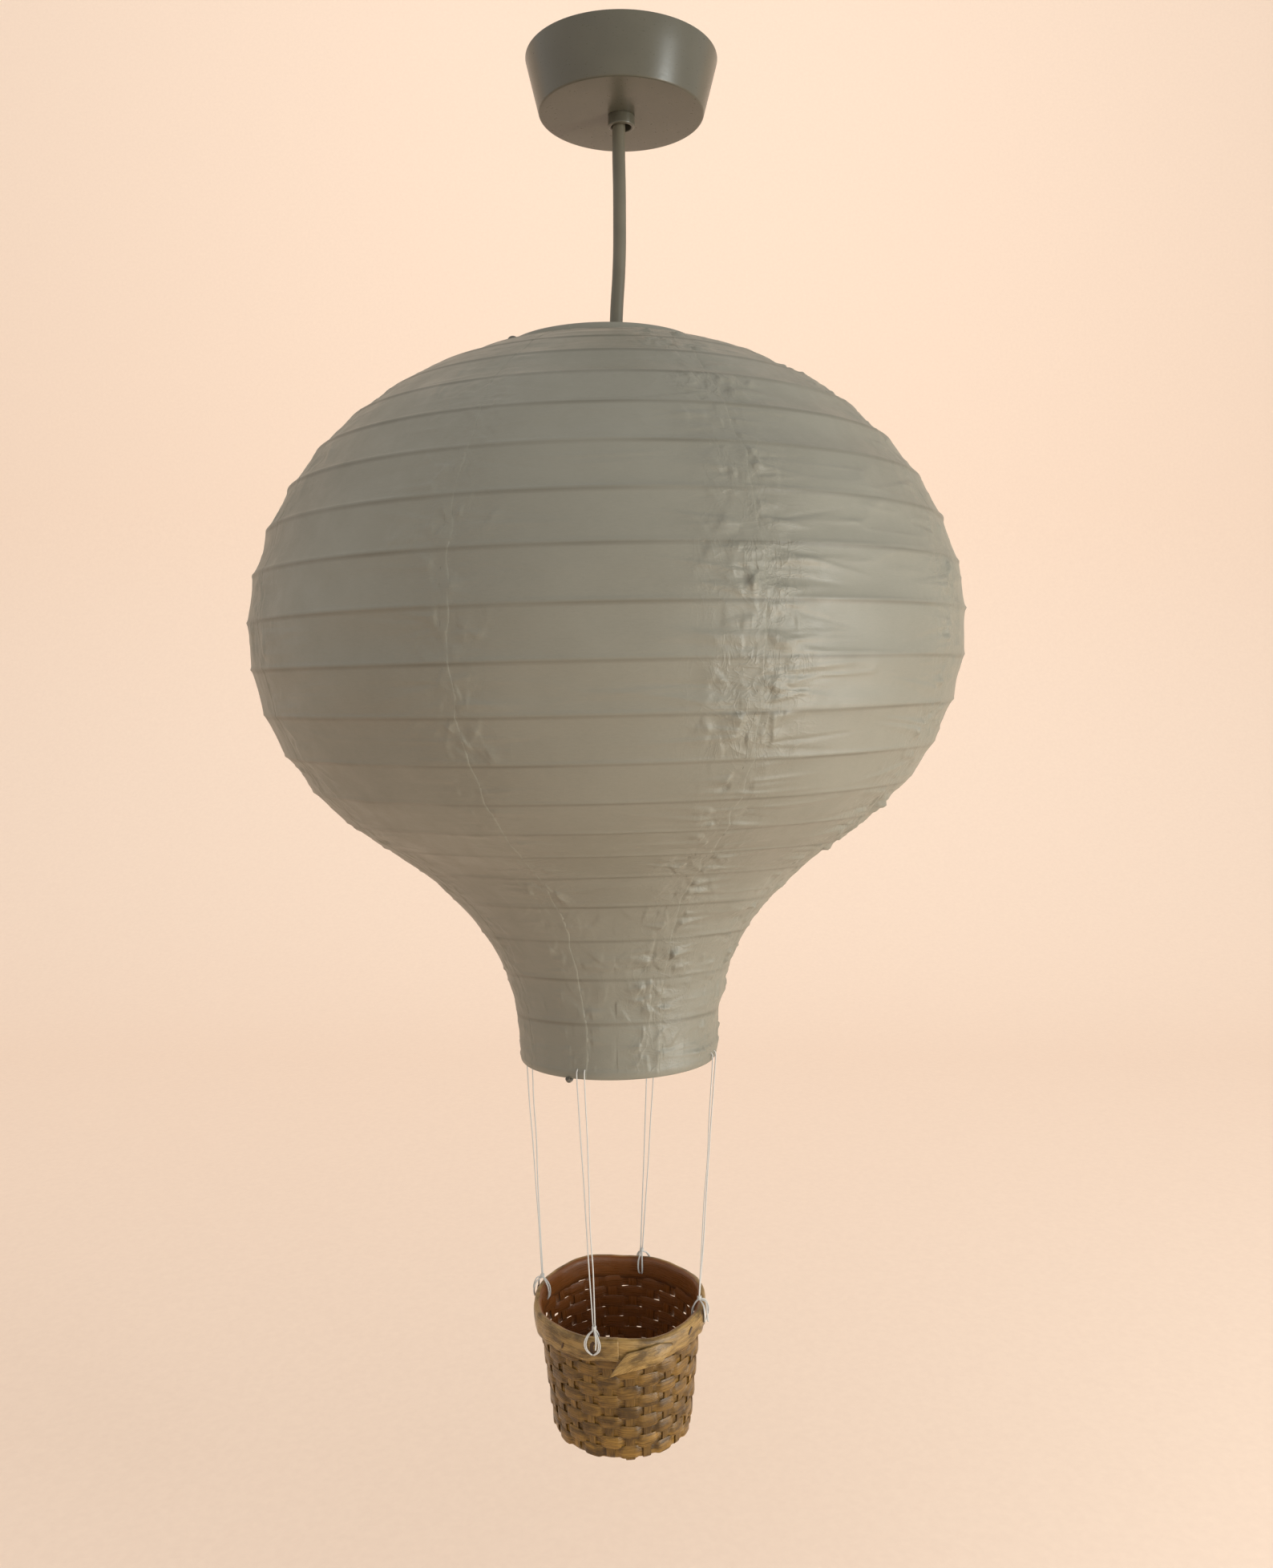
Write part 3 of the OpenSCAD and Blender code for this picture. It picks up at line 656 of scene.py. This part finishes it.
def paper_depth(t, s, r, z):
    """How far the paper lies inside the outline at angle t and distance s, its line of painted shade under the rib,
    and how crinkled it is.
    """
    number = np.floor(s / bay)
    u = s / bay - number
    up = (1 - u) * bay
    number = number.astype(np.int64)
    turn = (t[None] - seam_angles.reshape((-1,) + (1,) * t.ndim) + math.pi) % (2 * math.pi) - math.pi
    seam = np.argmin(np.abs(turn), 0)
    aside = np.take_along_axis(turn, seam[None], 0)[0] * r
    x, y = r * np.cos(t), r * np.sin(t)
    # the bow between two ribs, deeper in some places than in others
    loose = noise(x / 0.09, y / 0.09, number * 0.9, 3)
    skew = np.clip((z - equator) / CROWN, -0.5, 1)
    arch = 4 * u * (1 - u) * (1 + 0.9 * skew * (u - 0.5))
    slack = (0.28 + 0.4 * np.cos(t) ** 2) / (1 + np.exp((equator - 0.075 - z) / 0.02)) + 0.15
    bow = (0.5 + 3.6 * loose**1.5) * MM * slack * np.clip(r / 0.16, 0.45, 1) * arch
    hold = np.clip(4 * u * (1 - u), 0, 1) ** 0.4
    # the paper is most creased low down and on the right, and where a bay was glued with less care
    right = 0.30 + 0.70 / (1 + np.exp(-(x - 0.02) / 0.02))
    low = 0.8 + 0.4 / (1 + np.exp((z - equator + 0.03) / 0.03))
    care = 0.35 + 1.1 * lattice(seam, number, 7, CARE_SEED)
    near = np.exp(-((aside / 0.026) ** 2))
    crown = np.clip((SHADE_TOP - z) / 0.05, 0.25, 1)
    reach = math.pi / GORES * r
    long = pulls(seam, number, aside, up, reach) * right * low * (0.5 + 0.5 * care)
    short = puckers(seam, number, aside, up) * (0.45 + 0.55 * right) * care * crown
    fold = crease(x / 0.085, y / 0.085, z / 0.0095, 23) ** 6
    fold = fold + 0.6 * crease(x / 0.05, y / 0.05, z / 0.005, 29) ** 6
    patch = np.clip(2.6 * noise(x / 0.06, y / 0.06, z / 0.03, 31) - 1.0, 0, 1)
    crumple = crease(x / 0.016, y / 0.016, z / 0.013, 43) ** 2
    # slack and soft dents
    dent = noise(x / 0.03, y / 0.03, z / 0.02, 37) - 0.5
    streak = noise(x / 0.06, y / 0.06, z / 0.011, 39) - 0.5
    crumpled = 0.7 * near * care * crown * (0.3 + 0.7 * right) * crumple
    dented = (0.3 + 0.7 * near * right) * dent + (0.2 + 1.5 * right * low) * streak
    depth = bow - hold * MM * (1.25 * long + 0.75 * short + 1.2 * right * low * patch * fold + crumpled + dented)
    # where the paper pulls over the wire: a sharp dip, and just under it a faint, wavering line of painted shade
    signed = np.where(u < 0.5, u, u - 1) * bay
    depth = depth - 0.4 * MM * np.exp(-((signed / 0.0010) ** 2))
    faint = 0.45 + 0.75 * noise(x / 0.035, y / 0.035, number, 41)
    line = np.exp(-(((signed - 0.0011) / 0.0008) ** 2)) * faint
    return depth, line, np.clip(near * right * care, 0, 1)


def hem(ring_z, up):
    """The paper's edge, wrapped round a mouth's wire: (radius, height) points beyond the outline."""
    sign = 1 if up else -1
    wrap = 1.35 * MM
    turns = np.radians([20, 60, 90, 120, 160])
    arc = [(RING_R + wrap * math.cos(g), ring_z + sign * wrap * math.sin(g)) for g in turns]
    return arc + [(RING_R - wrap, ring_z - sign * 2.5 * MM), (RING_R - wrap - 0.1 * MM, ring_z - sign * 7 * MM)]


def gore(number):
    """One strip of paper between two seams, with its glued edge over the next one."""
    start = seam_angles[number - 1]
    width = 2 * math.pi / GORES
    fine = FINE if math.sin(start + width / 2) < -0.3 else 1
    s = np.linspace(0, run[-1], BAYS * round(PER_BAY * fine) + 1)
    r, z, in_r, in_z = on_outline(s)
    even = np.linspace(0, 1, round(PER_GORE * fine) + 1)
    # steps are closer together near the two seams
    share = np.concatenate([even - 0.5 * np.sin(2 * math.pi * even) / (2 * math.pi), 1 + np.array([0.35, 0.7, 1.0])])
    over = OVERLAP / np.maximum(r, MOUTH_R)
    t = start + np.where(share[None] <= 1, share[None] * width, width + (share[None] - 1) * over[:, None])
    wobble = (noise(s / 0.012, number, 0.0, 47) - 0.5) * 3.0 * MM / r
    t = t + np.clip(share[None] - 1, 0, 1) * wobble[:, None]
    # the overlap's last edge is glued down flush, so the seam shows as a soft step
    lift = np.interp(share, [1, 1.01, 1.7, 2], [0, LAP, LAP, -0.02 * MM])
    depth, line, crinkled = paper_depth(t, s[:, None] + 0 * t, r[:, None] + 0 * t, z[:, None] + 0 * t)
    depth = depth - lift
    rr = r[:, None] + in_r[:, None] * depth
    zz = z[:, None] + in_z[:, None] * depth
    top = hem(TOP_RING_Z, True)[::-1]
    low = hem(BOTTOM_RING_Z, False)
    rows_r = [hr + lift for hr, _ in top] + list(rr) + [hr + lift for hr, _ in low]
    level = np.ones(len(share))
    rows_z = [hz * level for _, hz in top] + list(zz) + [hz * level for _, hz in low]
    rows_t = [t[0]] * len(top) + list(t) + [t[-1]] * len(low)
    blank = [np.zeros(len(share))]
    rows_r, rows_z, rows_t = np.array(rows_r), np.array(rows_z), np.array(rows_t)
    points = hang(np.stack([rows_r * np.cos(rows_t), rows_r * np.sin(rows_t), rows_z], -1)).reshape(-1, 3)
    obj = new_object("gore_%d" % number, points, grid_faces(len(rows_r), len(share)))
    for label, rows in (("rib_line", line), ("crinkled", crinkled)):
        mark = obj.data.attributes.new(label, "FLOAT", "POINT")
        rows = blank * len(top) + list(rows) + blank * len(low)
        mark.data.foreach_set("value", np.array(rows, np.float32).ravel())
    solid = obj.modifiers.new("thickness", "SOLIDIFY")
    solid.thickness, solid.offset = PAPER_T, 1
    return piece(obj, paper_look, "shade", "rice_paper", "paper_gore_%d" % number)


for number in range(1, GORES + 1):
    gore(number)

# ---------- ribs, mouth rings and spreader ----------
RIB_D = 1.0 * MM
RIB_INSIDE = 0.45 * MM + RIB_D / 2  # from the outline to the middle of a rib
RIB_NODES = {"crown_ribs": range(1, 9), "belly_ribs": range(9, 15), "neck_ribs": range(15, 21)}
for node, numbers in RIB_NODES.items():
    hoops = []
    for i in numbers:
        r, z, in_r, in_z = (float(v) for v in on_outline(i * bay))
        path = ring_path(r + in_r * RIB_INSIDE, z + in_z * RIB_INSIDE, 180)
        hoops.append(sweep("hoop", path, RIB_D / 2, 8, True))
    piece(join(node + "_wire", hoops), wire_look, "shade", "painted_wire", node)

for node, z in (("top_ring", TOP_RING_Z), ("bottom_ring", BOTTOM_RING_Z)):
    hoop = sweep(node + "_wire", ring_path(RING_R, z, 180), 1 * MM, 12, True)
    piece(hoop, wire_look, "shade", "painted_wire", node)

HOOK_R = 2.6 * MM
WIRE_D = 2.4 * MM
LEG_R = RING_R - HOOK_R
CARRIER_Z = (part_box("spreader_carrier")[0].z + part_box("spreader_carrier")[1].z) / 2
CARRIER_R = (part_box("spreader_carrier")[1].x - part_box("spreader_carrier")[0].x) / 2


def leg(name, node, turn, foot_turn):
    """One spreader leg: an arm from the carrier, an upright, and a hook over each mouth ring."""

    def around(degrees, r, z):
        return hang([r * math.cos(math.radians(degrees)), r * math.sin(math.radians(degrees)), z])

    bends = np.radians([20, 60, 100, 140, 180])
    hook = [around(turn, RING_R + HOOK_R * math.cos(g), TOP_RING_Z + HOOK_R * math.sin(g)) for g in bends]
    foot = [
        around(foot_turn, RING_R + HOOK_R * math.cos(g), BOTTOM_RING_Z - HOOK_R * math.sin(g)) for g in bends[::-1]
    ]
    head, end = around(turn, LEG_R, TOP_RING_Z - 12 * MM), around(foot_turn, LEG_R, BOTTOM_RING_Z + 12 * MM)
    shank = [head + (end - head) * f for f in np.linspace(0, 1, 8)]
    upright = sweep("upright", smooth_path(hook + shank + foot, 4), WIRE_D / 2, 12)
    meet = head + (end - head) * (head[2] - CARRIER_Z) / (head[2] - end[2])
    reach = meet[:2] - np.array((AXIS, 0))
    start = np.array((AXIS, 0)) + reach / np.linalg.norm(reach) * (CARRIER_R + 0.1 * MM)
    start = np.array((start[0], start[1], CARRIER_Z))
    arm = sweep("arm", [start, (start + meet) / 2, meet], WIRE_D / 2, 12)
    piece(join(name, [upright, arm]), wire_look, "shade", "painted_wire", node)


leg("leg_left_wire", "spreader_leg_left", 206, 242)
leg("leg_right_wire", "spreader_leg_right", 26, 62)

# ---------- basket ----------
RIM_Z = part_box("rim_outer")[1].z
BASE_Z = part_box("basket_base")[0].z
RIM_R, BASE_R = 47 * MM, 38.5 * MM  # middle of the wall at the rim and at the base
STAKES, ROWS = 24, 10
STAKE_TURN = math.radians(6.5)
ROW_H = (RIM_Z - BASE_Z - 13.5 * MM) / ROWS
ROW_START = BASE_Z + 1.6 * MM
SPLINT_T, WEAVER_T = 0.7 * MM, 0.55 * MM


BASKET_SHIFT, BASKET_LEAN = 2.0 * MM, 0.025


def basket_hang(points):
    """Points about the basket's upright axis, moved to where it hangs: a little aside and leaning."""
    p = np.array(points, float)
    out = p.copy()
    drop = RIM_Z - p[..., 2]
    out[..., 0] = p[..., 0] + AXIS + BASKET_SHIFT + BASKET_LEAN * drop
    return out


def wall_r(z):
    return BASE_R + (RIM_R - BASE_R) * (np.asarray(z) - BASE_Z) / (RIM_Z - BASE_Z)


def splint(name, path, out, width, thickness, tone, closed=False):
    """A split-bamboo strip with eased edges along a path; out is its face's direction at each point."""
    path, out = np.array(path, float), np.array(out, float)
    along = np.roll(path, -1, 0) - np.roll(path, 1, 0) if closed else np.gradient(path, axis=0)
    along /= np.linalg.norm(along, axis=1)[:, None]
    across = np.cross(out, along)
    across /= np.linalg.norm(across, axis=1)[:, None]
    out = np.cross(along, across)
    width = np.broadcast_to(np.array(width, float), (len(path),))
    half = thickness / 2
    section = [(-0.5, 0.2), (-0.45, 0.85), (0, 1.1), (0.45, 0.85), (0.5, 0.2)]
    section += [(0.5, -0.2), (0.45, -0.85), (0, -0.9), (-0.45, -0.85), (-0.5, -0.2)]
    u = np.array([q[0] for q in section])
    v = np.array([q[1] for q in section]) * half
    points = path[:, None] + across[:, None] * (u[None] * width[:, None])[..., None] + out[:, None] * v[None, :, None]
    distance = np.concatenate([[0], np.cumsum(np.linalg.norm(np.diff(path, axis=0), axis=1))])
    values = [(d, k * w, tone) for d, w in zip(distance, width) for k in u]
    faces = grid_faces(len(path), len(section), closed, True)
    if not closed:
        last = (len(path) - 1) * len(section)
        faces += [tuple(range(len(section) - 1, -1, -1)), tuple(range(last, last + len(section)))]
    obj = new_object(name, basket_hang(points.reshape(-1, 3)), faces)
    mark_points(obj, values)
    return obj


tones = np.random.default_rng(12)
LOW_STAKE = 6  # this stake's bend hangs lowest
TONES = [0.0, 0.1, 0.5, 1.0]


def stake_pair(i):
    """One long splint: down the wall, bent under, across the base and up the other side."""
    t = i * 2 * math.pi / STAKES + STAKE_TURN + tones.uniform(-0.012, 0.012)
    bend_r, low = 3.2 * MM, BASE_Z + 0.7 * MM
    bulge = (1.7 if i == LOW_STAKE else tones.uniform(0.3, 1.2)) * MM
    wall_z = np.linspace(RIM_Z - 4 * MM, low + bend_r, 46)
    sway = 0.28 * MM * (-1) ** i * np.cos(np.pi * (wall_z - ROW_START - ROW_H / 2) / ROW_H)
    fade = np.clip((RIM_Z - 12 * MM - wall_z) / (3 * MM), 0, 1)
    side = [(r, z) for r, z in zip(wall_r(wall_z) - sway * fade, wall_z)]
    corner = wall_r(low + bend_r) - bend_r
    for g in np.linspace(0.25, math.pi / 2, 7):
        out = bulge * math.sin(2 * g)
        side.append((corner + (bend_r + out) * math.cos(g), low + bend_r - (bend_r + out) * math.sin(g)))
    over = (i % (STAKES // 2)) * 0.2 * MM
    side += [(r, low + over * (1 - r / corner)) for r in np.linspace(corner - 3 * MM, 0.5 * MM, 12)]
    half = np.array(side)

    def across_base(points):
        """Points down one side and, mirrored through the axis, up the other."""
        there = [(r * math.cos(t), r * math.sin(t), z) for r, z in points]
        return there + [(-x, -y, z) for x, y, z in there[::-1]]

    path = across_base(half)
    grade = np.gradient(half, axis=0)
    flat = np.stack([-grade[:, 1], grade[:, 0]], 1)
    flat /= np.linalg.norm(flat, axis=1)[:, None]
    out = across_base(flat)
    radius = np.abs(np.concatenate([half[:, 0], half[::-1, 0]]))
    width = np.clip(tones.uniform(0.32, 0.52) * 2 * math.pi * radius / STAKES, 2.2 * MM, None)
    return splint("stake", path, out, width, SPLINT_T, tones.choice(TONES))


stakes = join("stakes_woven", [stake_pair(i) for i in range(STAKES // 2)])
piece(stakes, bamboo_look, "basket", "bamboo", "basket_stakes")


def weaver(number):
    """One row: a flat splint that passes outside every second stake and inside the others."""
    count = STAKES * 14
    t = np.linspace(0, 2 * math.pi, count, endpoint=False)
    snap = 3.2  # how quickly it passes from one side of the stakes to the other
    swing = np.tanh(snap * np.cos(STAKES / 2 * (t - STAKE_TURN) + math.pi * number)) / math.tanh(snap)
    z = ROW_START + (number + 0.5) * ROW_H + (noise(6 * np.cos(t), 6 * np.sin(t), number, 61) - 0.5) * 0.9 * MM
    r = wall_r(z) + (0.7 * swing + 0.1) * MM
    path = np.stack([r * np.cos(t), r * np.sin(t), z], 1)
    # each row leans so that its lower edge stands out over the row below
    lean = (noise(4 * np.cos(t), 4 * np.sin(t), number, 67) - 0.5) * 0.10 + 0.09
    out = np.stack([np.cos(t), np.sin(t), lean - 0.11], 1)
    width = ROW_H * (1.0 + 0.13 * swing**2 + 0.10 * noise(5 * np.cos(t), 5 * np.sin(t), number, 71))
    return splint("weaver_%d_splint" % (number + 1), path, out, width, WEAVER_T, tones.uniform(0.0, 0.9), True)


for number in range(ROWS):
    piece(sharp(weaver(number)), bamboo_look, "basket", "bamboo", "weaver_%d" % (number + 1))


def base_ring(number):
    """A splint woven round through the crossed base."""
    count = STAKES * 10
    t = np.linspace(0, 2 * math.pi, count, endpoint=False)
    r = (33 - 6.2 * number) * MM + (noise(3 * np.cos(t), 3 * np.sin(t), number, 73) - 0.5) * MM
    z = BASE_Z + 1.7 * MM + 0.55 * MM * np.cos(STAKES / 2 * (t - STAKE_TURN) + math.pi * number)
    path = np.stack([r * np.cos(t), r * np.sin(t), z], 1)
    return splint("base", path, np.tile((0, 0, 1), (count, 1)), 4.6 * MM, 0.5 * MM, tones.uniform(0.2, 0.9), True)


floor_splints = join("base_woven", [base_ring(k) for k in range(4)])
# the basket's floor is coloured in painted shade tones
piece(floor_splints, inside_shade_look, "basket", "bamboo", "basket_base")


def rim_wave(t):
    """The rim's rise and fall round the basket."""
    return (1.2 * math.sin(t + 0.4) + 0.9 * math.sin(3 * t + 1.0) + 0.5 * math.sin(7 * t)) * MM - 1.0 * MM


def rim_fold():
    """A broad splint folded over the rim, pressed into flats between the stakes."""
    fold = [(2.0, -11.6), (2.35, -8.0), (2.5, -4.0), (2.2, -1.3), (1.3, -0.1), (0.0, 0.0)]
    fold += [(-1.2, -0.9), (-1.9, -3.5), (-2.0, -12.0)]
    fold = np.array(smooth_path([(a, b, 0) for a, b in fold], 3))[:, :2] * MM
    start, turn, count = math.radians(258), math.radians(372), 440
    points, values = [], []
    for k in range(count):
        share = k / (count - 1)
        t = start + turn * share
        lap = np.clip((share - 0.93) / 0.03, 0, 1) * 1.0 * MM
        ragged = float(noise(11 * math.cos(t), 11 * math.sin(t), 0.0, 79)) - 0.5
        flare = float(noise(2.6 * math.cos(t), 2.6 * math.sin(t), 3.0, 83)) - 0.5
        press = 0.12 * MM * math.cos(STAKES * (t - STAKE_TURN))
        for a, b in fold:
            deep = b / (-11.6 * MM) if a > 0 else 0.3 * b / (-12.0 * MM)
            r = RIM_R + a + press + (lap if a > 0.5 * MM else -lap * 0.3) + 1.1 * MM * flare * (deep + 0.3)
            z = b * (1 + 0.22 * deep * ragged)
            points.append((r * math.cos(t), r * math.sin(t), RIM_Z + z + rim_wave(t)))
            values.append((t * RIM_R, b, 0.15))
    obj = new_object("rim_fold", basket_hang(points), grid_faces(count, len(fold)))
    mark_points(obj, values)
    solid = obj.modifiers.new("thickness", "SOLIDIFY")
    solid.thickness, solid.offset = SPLINT_T, 0
    return obj


def rim_end():
    """The rim splint's free end in front: from the right, down over the band, and cut at a slant."""
    count = 40
    share = np.linspace(0, 1, count)
    t = np.radians(306 - 42 * share)
    z = RIM_Z - (5.5 + 8.0 * share**1.4) * MM + np.array([rim_wave(v) for v in t])
    r = RIM_R + (2.9 + 1.3 * np.clip(share / 0.3, 0, 1) + 0.9 * share**4) * MM
    path = np.stack([r * np.cos(t), r * np.sin(t), z], 1)
    out = np.stack([np.cos(t), np.sin(t), 0.10 + 0 * t], 1)
    width = 10.0 * MM * np.clip((1 - share) / 0.32, 0.04, 1) * np.clip(0.3 + 3 * share, 0, 1)
    # the slanted cut leaves the point at the strip's lower edge
    cut = np.clip((share - 0.68) / 0.32, 0, 1)
    path[:, 2] -= 5.0 * MM * cut
    return splint("rim_end", path, out, width, 0.8 * MM, 0.0)


# each string's angle on the shade's ring, its tie's angle on the rim, and the gap between its two runs, mm
STRINGS = {"front": (250, 254, 4.2), "right": (340, 344, 5.8), "back": (70, 74, 5.0), "left": (160, 164, 7.0)}


SLIT_OUT = 3.2 * MM


def rim_slits():
    """Small dark strips in splits of the rim's band and at each tie: painted shade in the splits."""
    made = []
    # angle, height under the rim, tilt, length and width
    slits = [(301, -7.5, -0.9, 4.2, 1.3), (322, -5.5, 0.8, 4.6, 1.3)]
    slits += [(286, -12.6, 1.5, 5.0, 1.2), (232, -9.0, 1.2, 3.4, 1.1)]
    slits += [(tie, -5.4, 1.5, 6.4, 3.6) for _, tie, _ in STRINGS.values()]
    for degrees, up, tilt, long, wide in slits:
        t = math.radians(degrees)
        out = np.array((math.cos(t), math.sin(t), 0.1))
        side = np.array((-math.sin(t), math.cos(t), 0.0))
        middle = out * np.array((1, 1, 0)) * (RIM_R + SLIT_OUT) + np.array((0, 0, RIM_Z + up * MM))
        way = side * math.cos(tilt) + np.array((0, 0, math.sin(tilt)))
        path = [middle + way * f * long * MM for f in (-0.5, -0.3, 0.0, 0.3, 0.5)]
        widths = [f * wide * MM for f in (0.3, 0.9, 1, 0.9, 0.3)]
        made.append(splint("slit", path, [out] * 5, widths, 0.5 * MM, 1.0))
    return join("rim_slits", made)


# the dark strips are painted shade in the rim's splits
piece(rim_slits(), slit_shade_look, "basket", "bamboo")
piece(rim_end(), rim_look, "basket", "bamboo")
piece(rim_fold(), rim_look, "basket", "bamboo", "rim_outer", "rim_inner", "rim_lashing")

# ---------- strings: one thread each, up from its knot, through the paper round the ring, and down ----------
THREAD_D = 0.75 * MM


KNOT_OUT, KNOT_UP = 0.5 * MM, 3.8 * MM  # the knot's place: out from the wall and up from the rim
RUN_STEPS = 16


def on_ring(angle, out, up):
    """A point by the shade's bottom ring."""
    t = math.radians(angle)
    return hang([(RING_R + out) * math.cos(t), (RING_R + out) * math.sin(t), BOTTOM_RING_Z + up])


def at_tie(angle, out, side, up):
    """A point by a string's tie on the rim: out from the wall, sideways, and up from the rim."""
    t = math.radians(angle)
    r = RIM_R + out
    return basket_hang([r * math.cos(t) - side * math.sin(t), r * math.sin(t) + side * math.cos(t), RIM_Z + up])


def string_route(top, tie, gap, seed):
    """A thread's whole way: up from the knot, over the ring in the paper's hem, and down again."""
    half = math.degrees(gap / 2 * MM / RING_R)
    knot_at = at_tie(tie, KNOT_OUT, 0, KNOT_UP)
    lines = []
    for side in (-1, 1):
        low = at_tie(tie, KNOT_OUT, side * 0.55 * MM, 4.6 * MM)
        high = on_ring(top + side * half, 2.4 * MM, -2.5 * MM)
        line = []
        for k in range(1, RUN_STEPS):
            f = k / RUN_STEPS
            sway = 0.9 * MM * math.sin(math.pi * f) * (float(noise(f * 5, side, 0.0, seed)) - 0.5)
            line.append(low + (high - low) * f + np.array((sway, 0, 0)))
        lines.append([low] + line + [high])
    over = [
        on_ring(top - half, 2.5 * MM, 2.6 * MM), on_ring(top - half * 0.9, 0.4 * MM, 4.2 * MM),
        on_ring(top - half * 0.5, -2.4 * MM, 4.0 * MM), on_ring(top + half * 0.5, -2.4 * MM, 4.0 * MM),
        on_ring(top + half * 0.9, 0.4 * MM, 4.2 * MM), on_ring(top + half, 2.5 * MM, 2.6 * MM),
    ]
    return [knot_at - np.array((0, 0, 0.3 * MM))] + lines[0] + over + lines[1][::-1]


def knot(name, tie, tails):
    """A small wrapped knot over the rim, the loop round the rim's band, and the thread's loose ends."""
    centre = at_tie(tie, KNOT_OUT, 0, KNOT_UP)
    wrap_r, wrap_h = 0.85 * MM, 2.2 * MM
    wraps = [
        centre + np.array((wrap_r * math.cos(g), wrap_r * math.sin(g), (g / 21.0 - 0.45) * wrap_h))
        for g in np.linspace(0, 6 * math.pi, 60)
    ]
    made = [sweep("wrap", wraps, 0.42 * MM, 8)]
    for side, size in ((-1, 1), (-1, 0.8), (1, 1), (1, 0.8)):
        loop = [(0.6, 0.15, 3.0), (3.4, 2.8, 1.0), (4.4, 4.4, -2.8), (4.2, 3.6, -6.6), (3.4, 0.5, -9.2)]
        loop += [(-1.0, 0.4, -9.9), (-3.4, 1.2, -8.0), (-3.6, 1.4, -3.0), (-2.0, 0.9, 0.6), (0.0, 0.2, 3.0)]
        path = smooth_path([at_tie(tie, a * MM, side * size * b * MM, c * MM) for a, b, c in loop], 5)
        made.append(sweep("loop", path, THREAD_D / 2, 8))
    for k in range(tails):
        tail = [(0.8, 0.0, 3.6), (3.6 + k, 1.5 - 3 * k, 2.6), (5.2, 2.4 - 4.5 * k, -1.5)]
        tail += [(5.0 + k * 0.8, 2.0 - 4.0 * k, -5.5 - 2.5 * k)]
        path = smooth_path([at_tie(tie, a * MM, b * MM, c * MM) for a, b, c in tail], 5)
        made.append(sweep("tail", path, THREAD_D / 2, 8))
    return piece(join(name, made), thread_look, "basket", "cotton_thread")


for k, (side, (top, tie, gap)) in enumerate(STRINGS.items()):
    knot("knot_" + side, tie, 2 if side == "right" else 1)
    route = smooth_path(string_route(top, tie, gap, 90 + k), 3)
    strand = sweep("thread_" + side, route, THREAD_D / 2, 8)
    piece(strand, thread_look, "string_" + side, "cotton_thread", "string_" + side)
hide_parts("rim_ties")

# ---------- stage and light ----------
FLOOR_GAP = 0.16
floor_z = cad_low.z - FLOOR_GAP


WALL_DARK, WALL_LIGHT = (0.89, 0.725, 0.60), (0.92, 0.755, 0.625)


def backdrop():
    """A pale floor that curves up into a wall."""
    half, front, back, height, bend = 4.0, -3.5, 2.2, 3.6, 1.0
    section = [(front, floor_z), (back - bend, floor_z)]
    section += [
        (back - bend + bend * math.sin(g), floor_z + bend - bend * math.cos(g))
        for g in np.linspace(0.1, math.pi / 2, 16)
    ]
    section += [(back, floor_z + height)]
    points = [(x, y, z) for x in (-half, half) for y, z in section]
    obj = new_object("backdrop", points, grid_faces(2, len(section)))
    m = Nodes("backdrop_paper", 0.9)
    cloth = m.speckle(m.place((1, 1, 1)), 160.0, 4.0, 0.6)
    m.set("Base Color", m.mix(m.spread(cloth, 0.3, 0.7), WALL_DARK, WALL_LIGHT))
    dress(obj, m.material)


backdrop()


def area_light(name, at, aim, size, power, colour):
    lamp = bpy.data.lights.new(name, "AREA")
    lamp.shape, lamp.size, lamp.energy, lamp.color = "DISK", size, power, colour
    obj = bpy.data.objects.new(name, lamp)
    bpy.context.scene.collection.objects.link(obj)
    obj.location = at
    obj.rotation_euler = (Vector(aim) - Vector(at)).to_track_quat("-Z", "Y").to_euler()


# a large window to the right, its low part beside the basket, and a wash over the wall
area_light("window", (1.55, -0.95, -0.3), (0, 0, -0.4), 0.6, 12.5, (0.95, 1.0, 0.98))
area_light("low_window", (1.1, -0.55, -0.85), (0, 0, -0.74), 0.4, 8, (1.0, 0.97, 0.89))
area_light("wall_wash", (0, 0.5, 1.4), (0, 2.2, 1.2), 2.5, 9, (1.0, 0.98, 0.95))
SKY_COLOUR, SKY_STRENGTH = (1, 0.97, 0.93, 1), 0.86
world = bpy.data.worlds.new("world")
world.use_nodes = True
sky = world.node_tree.nodes["Background"].inputs
sky["Color"].default_value = SKY_COLOUR
sky["Strength"].default_value = SKY_STRENGTH
bpy.context.scene.world = world
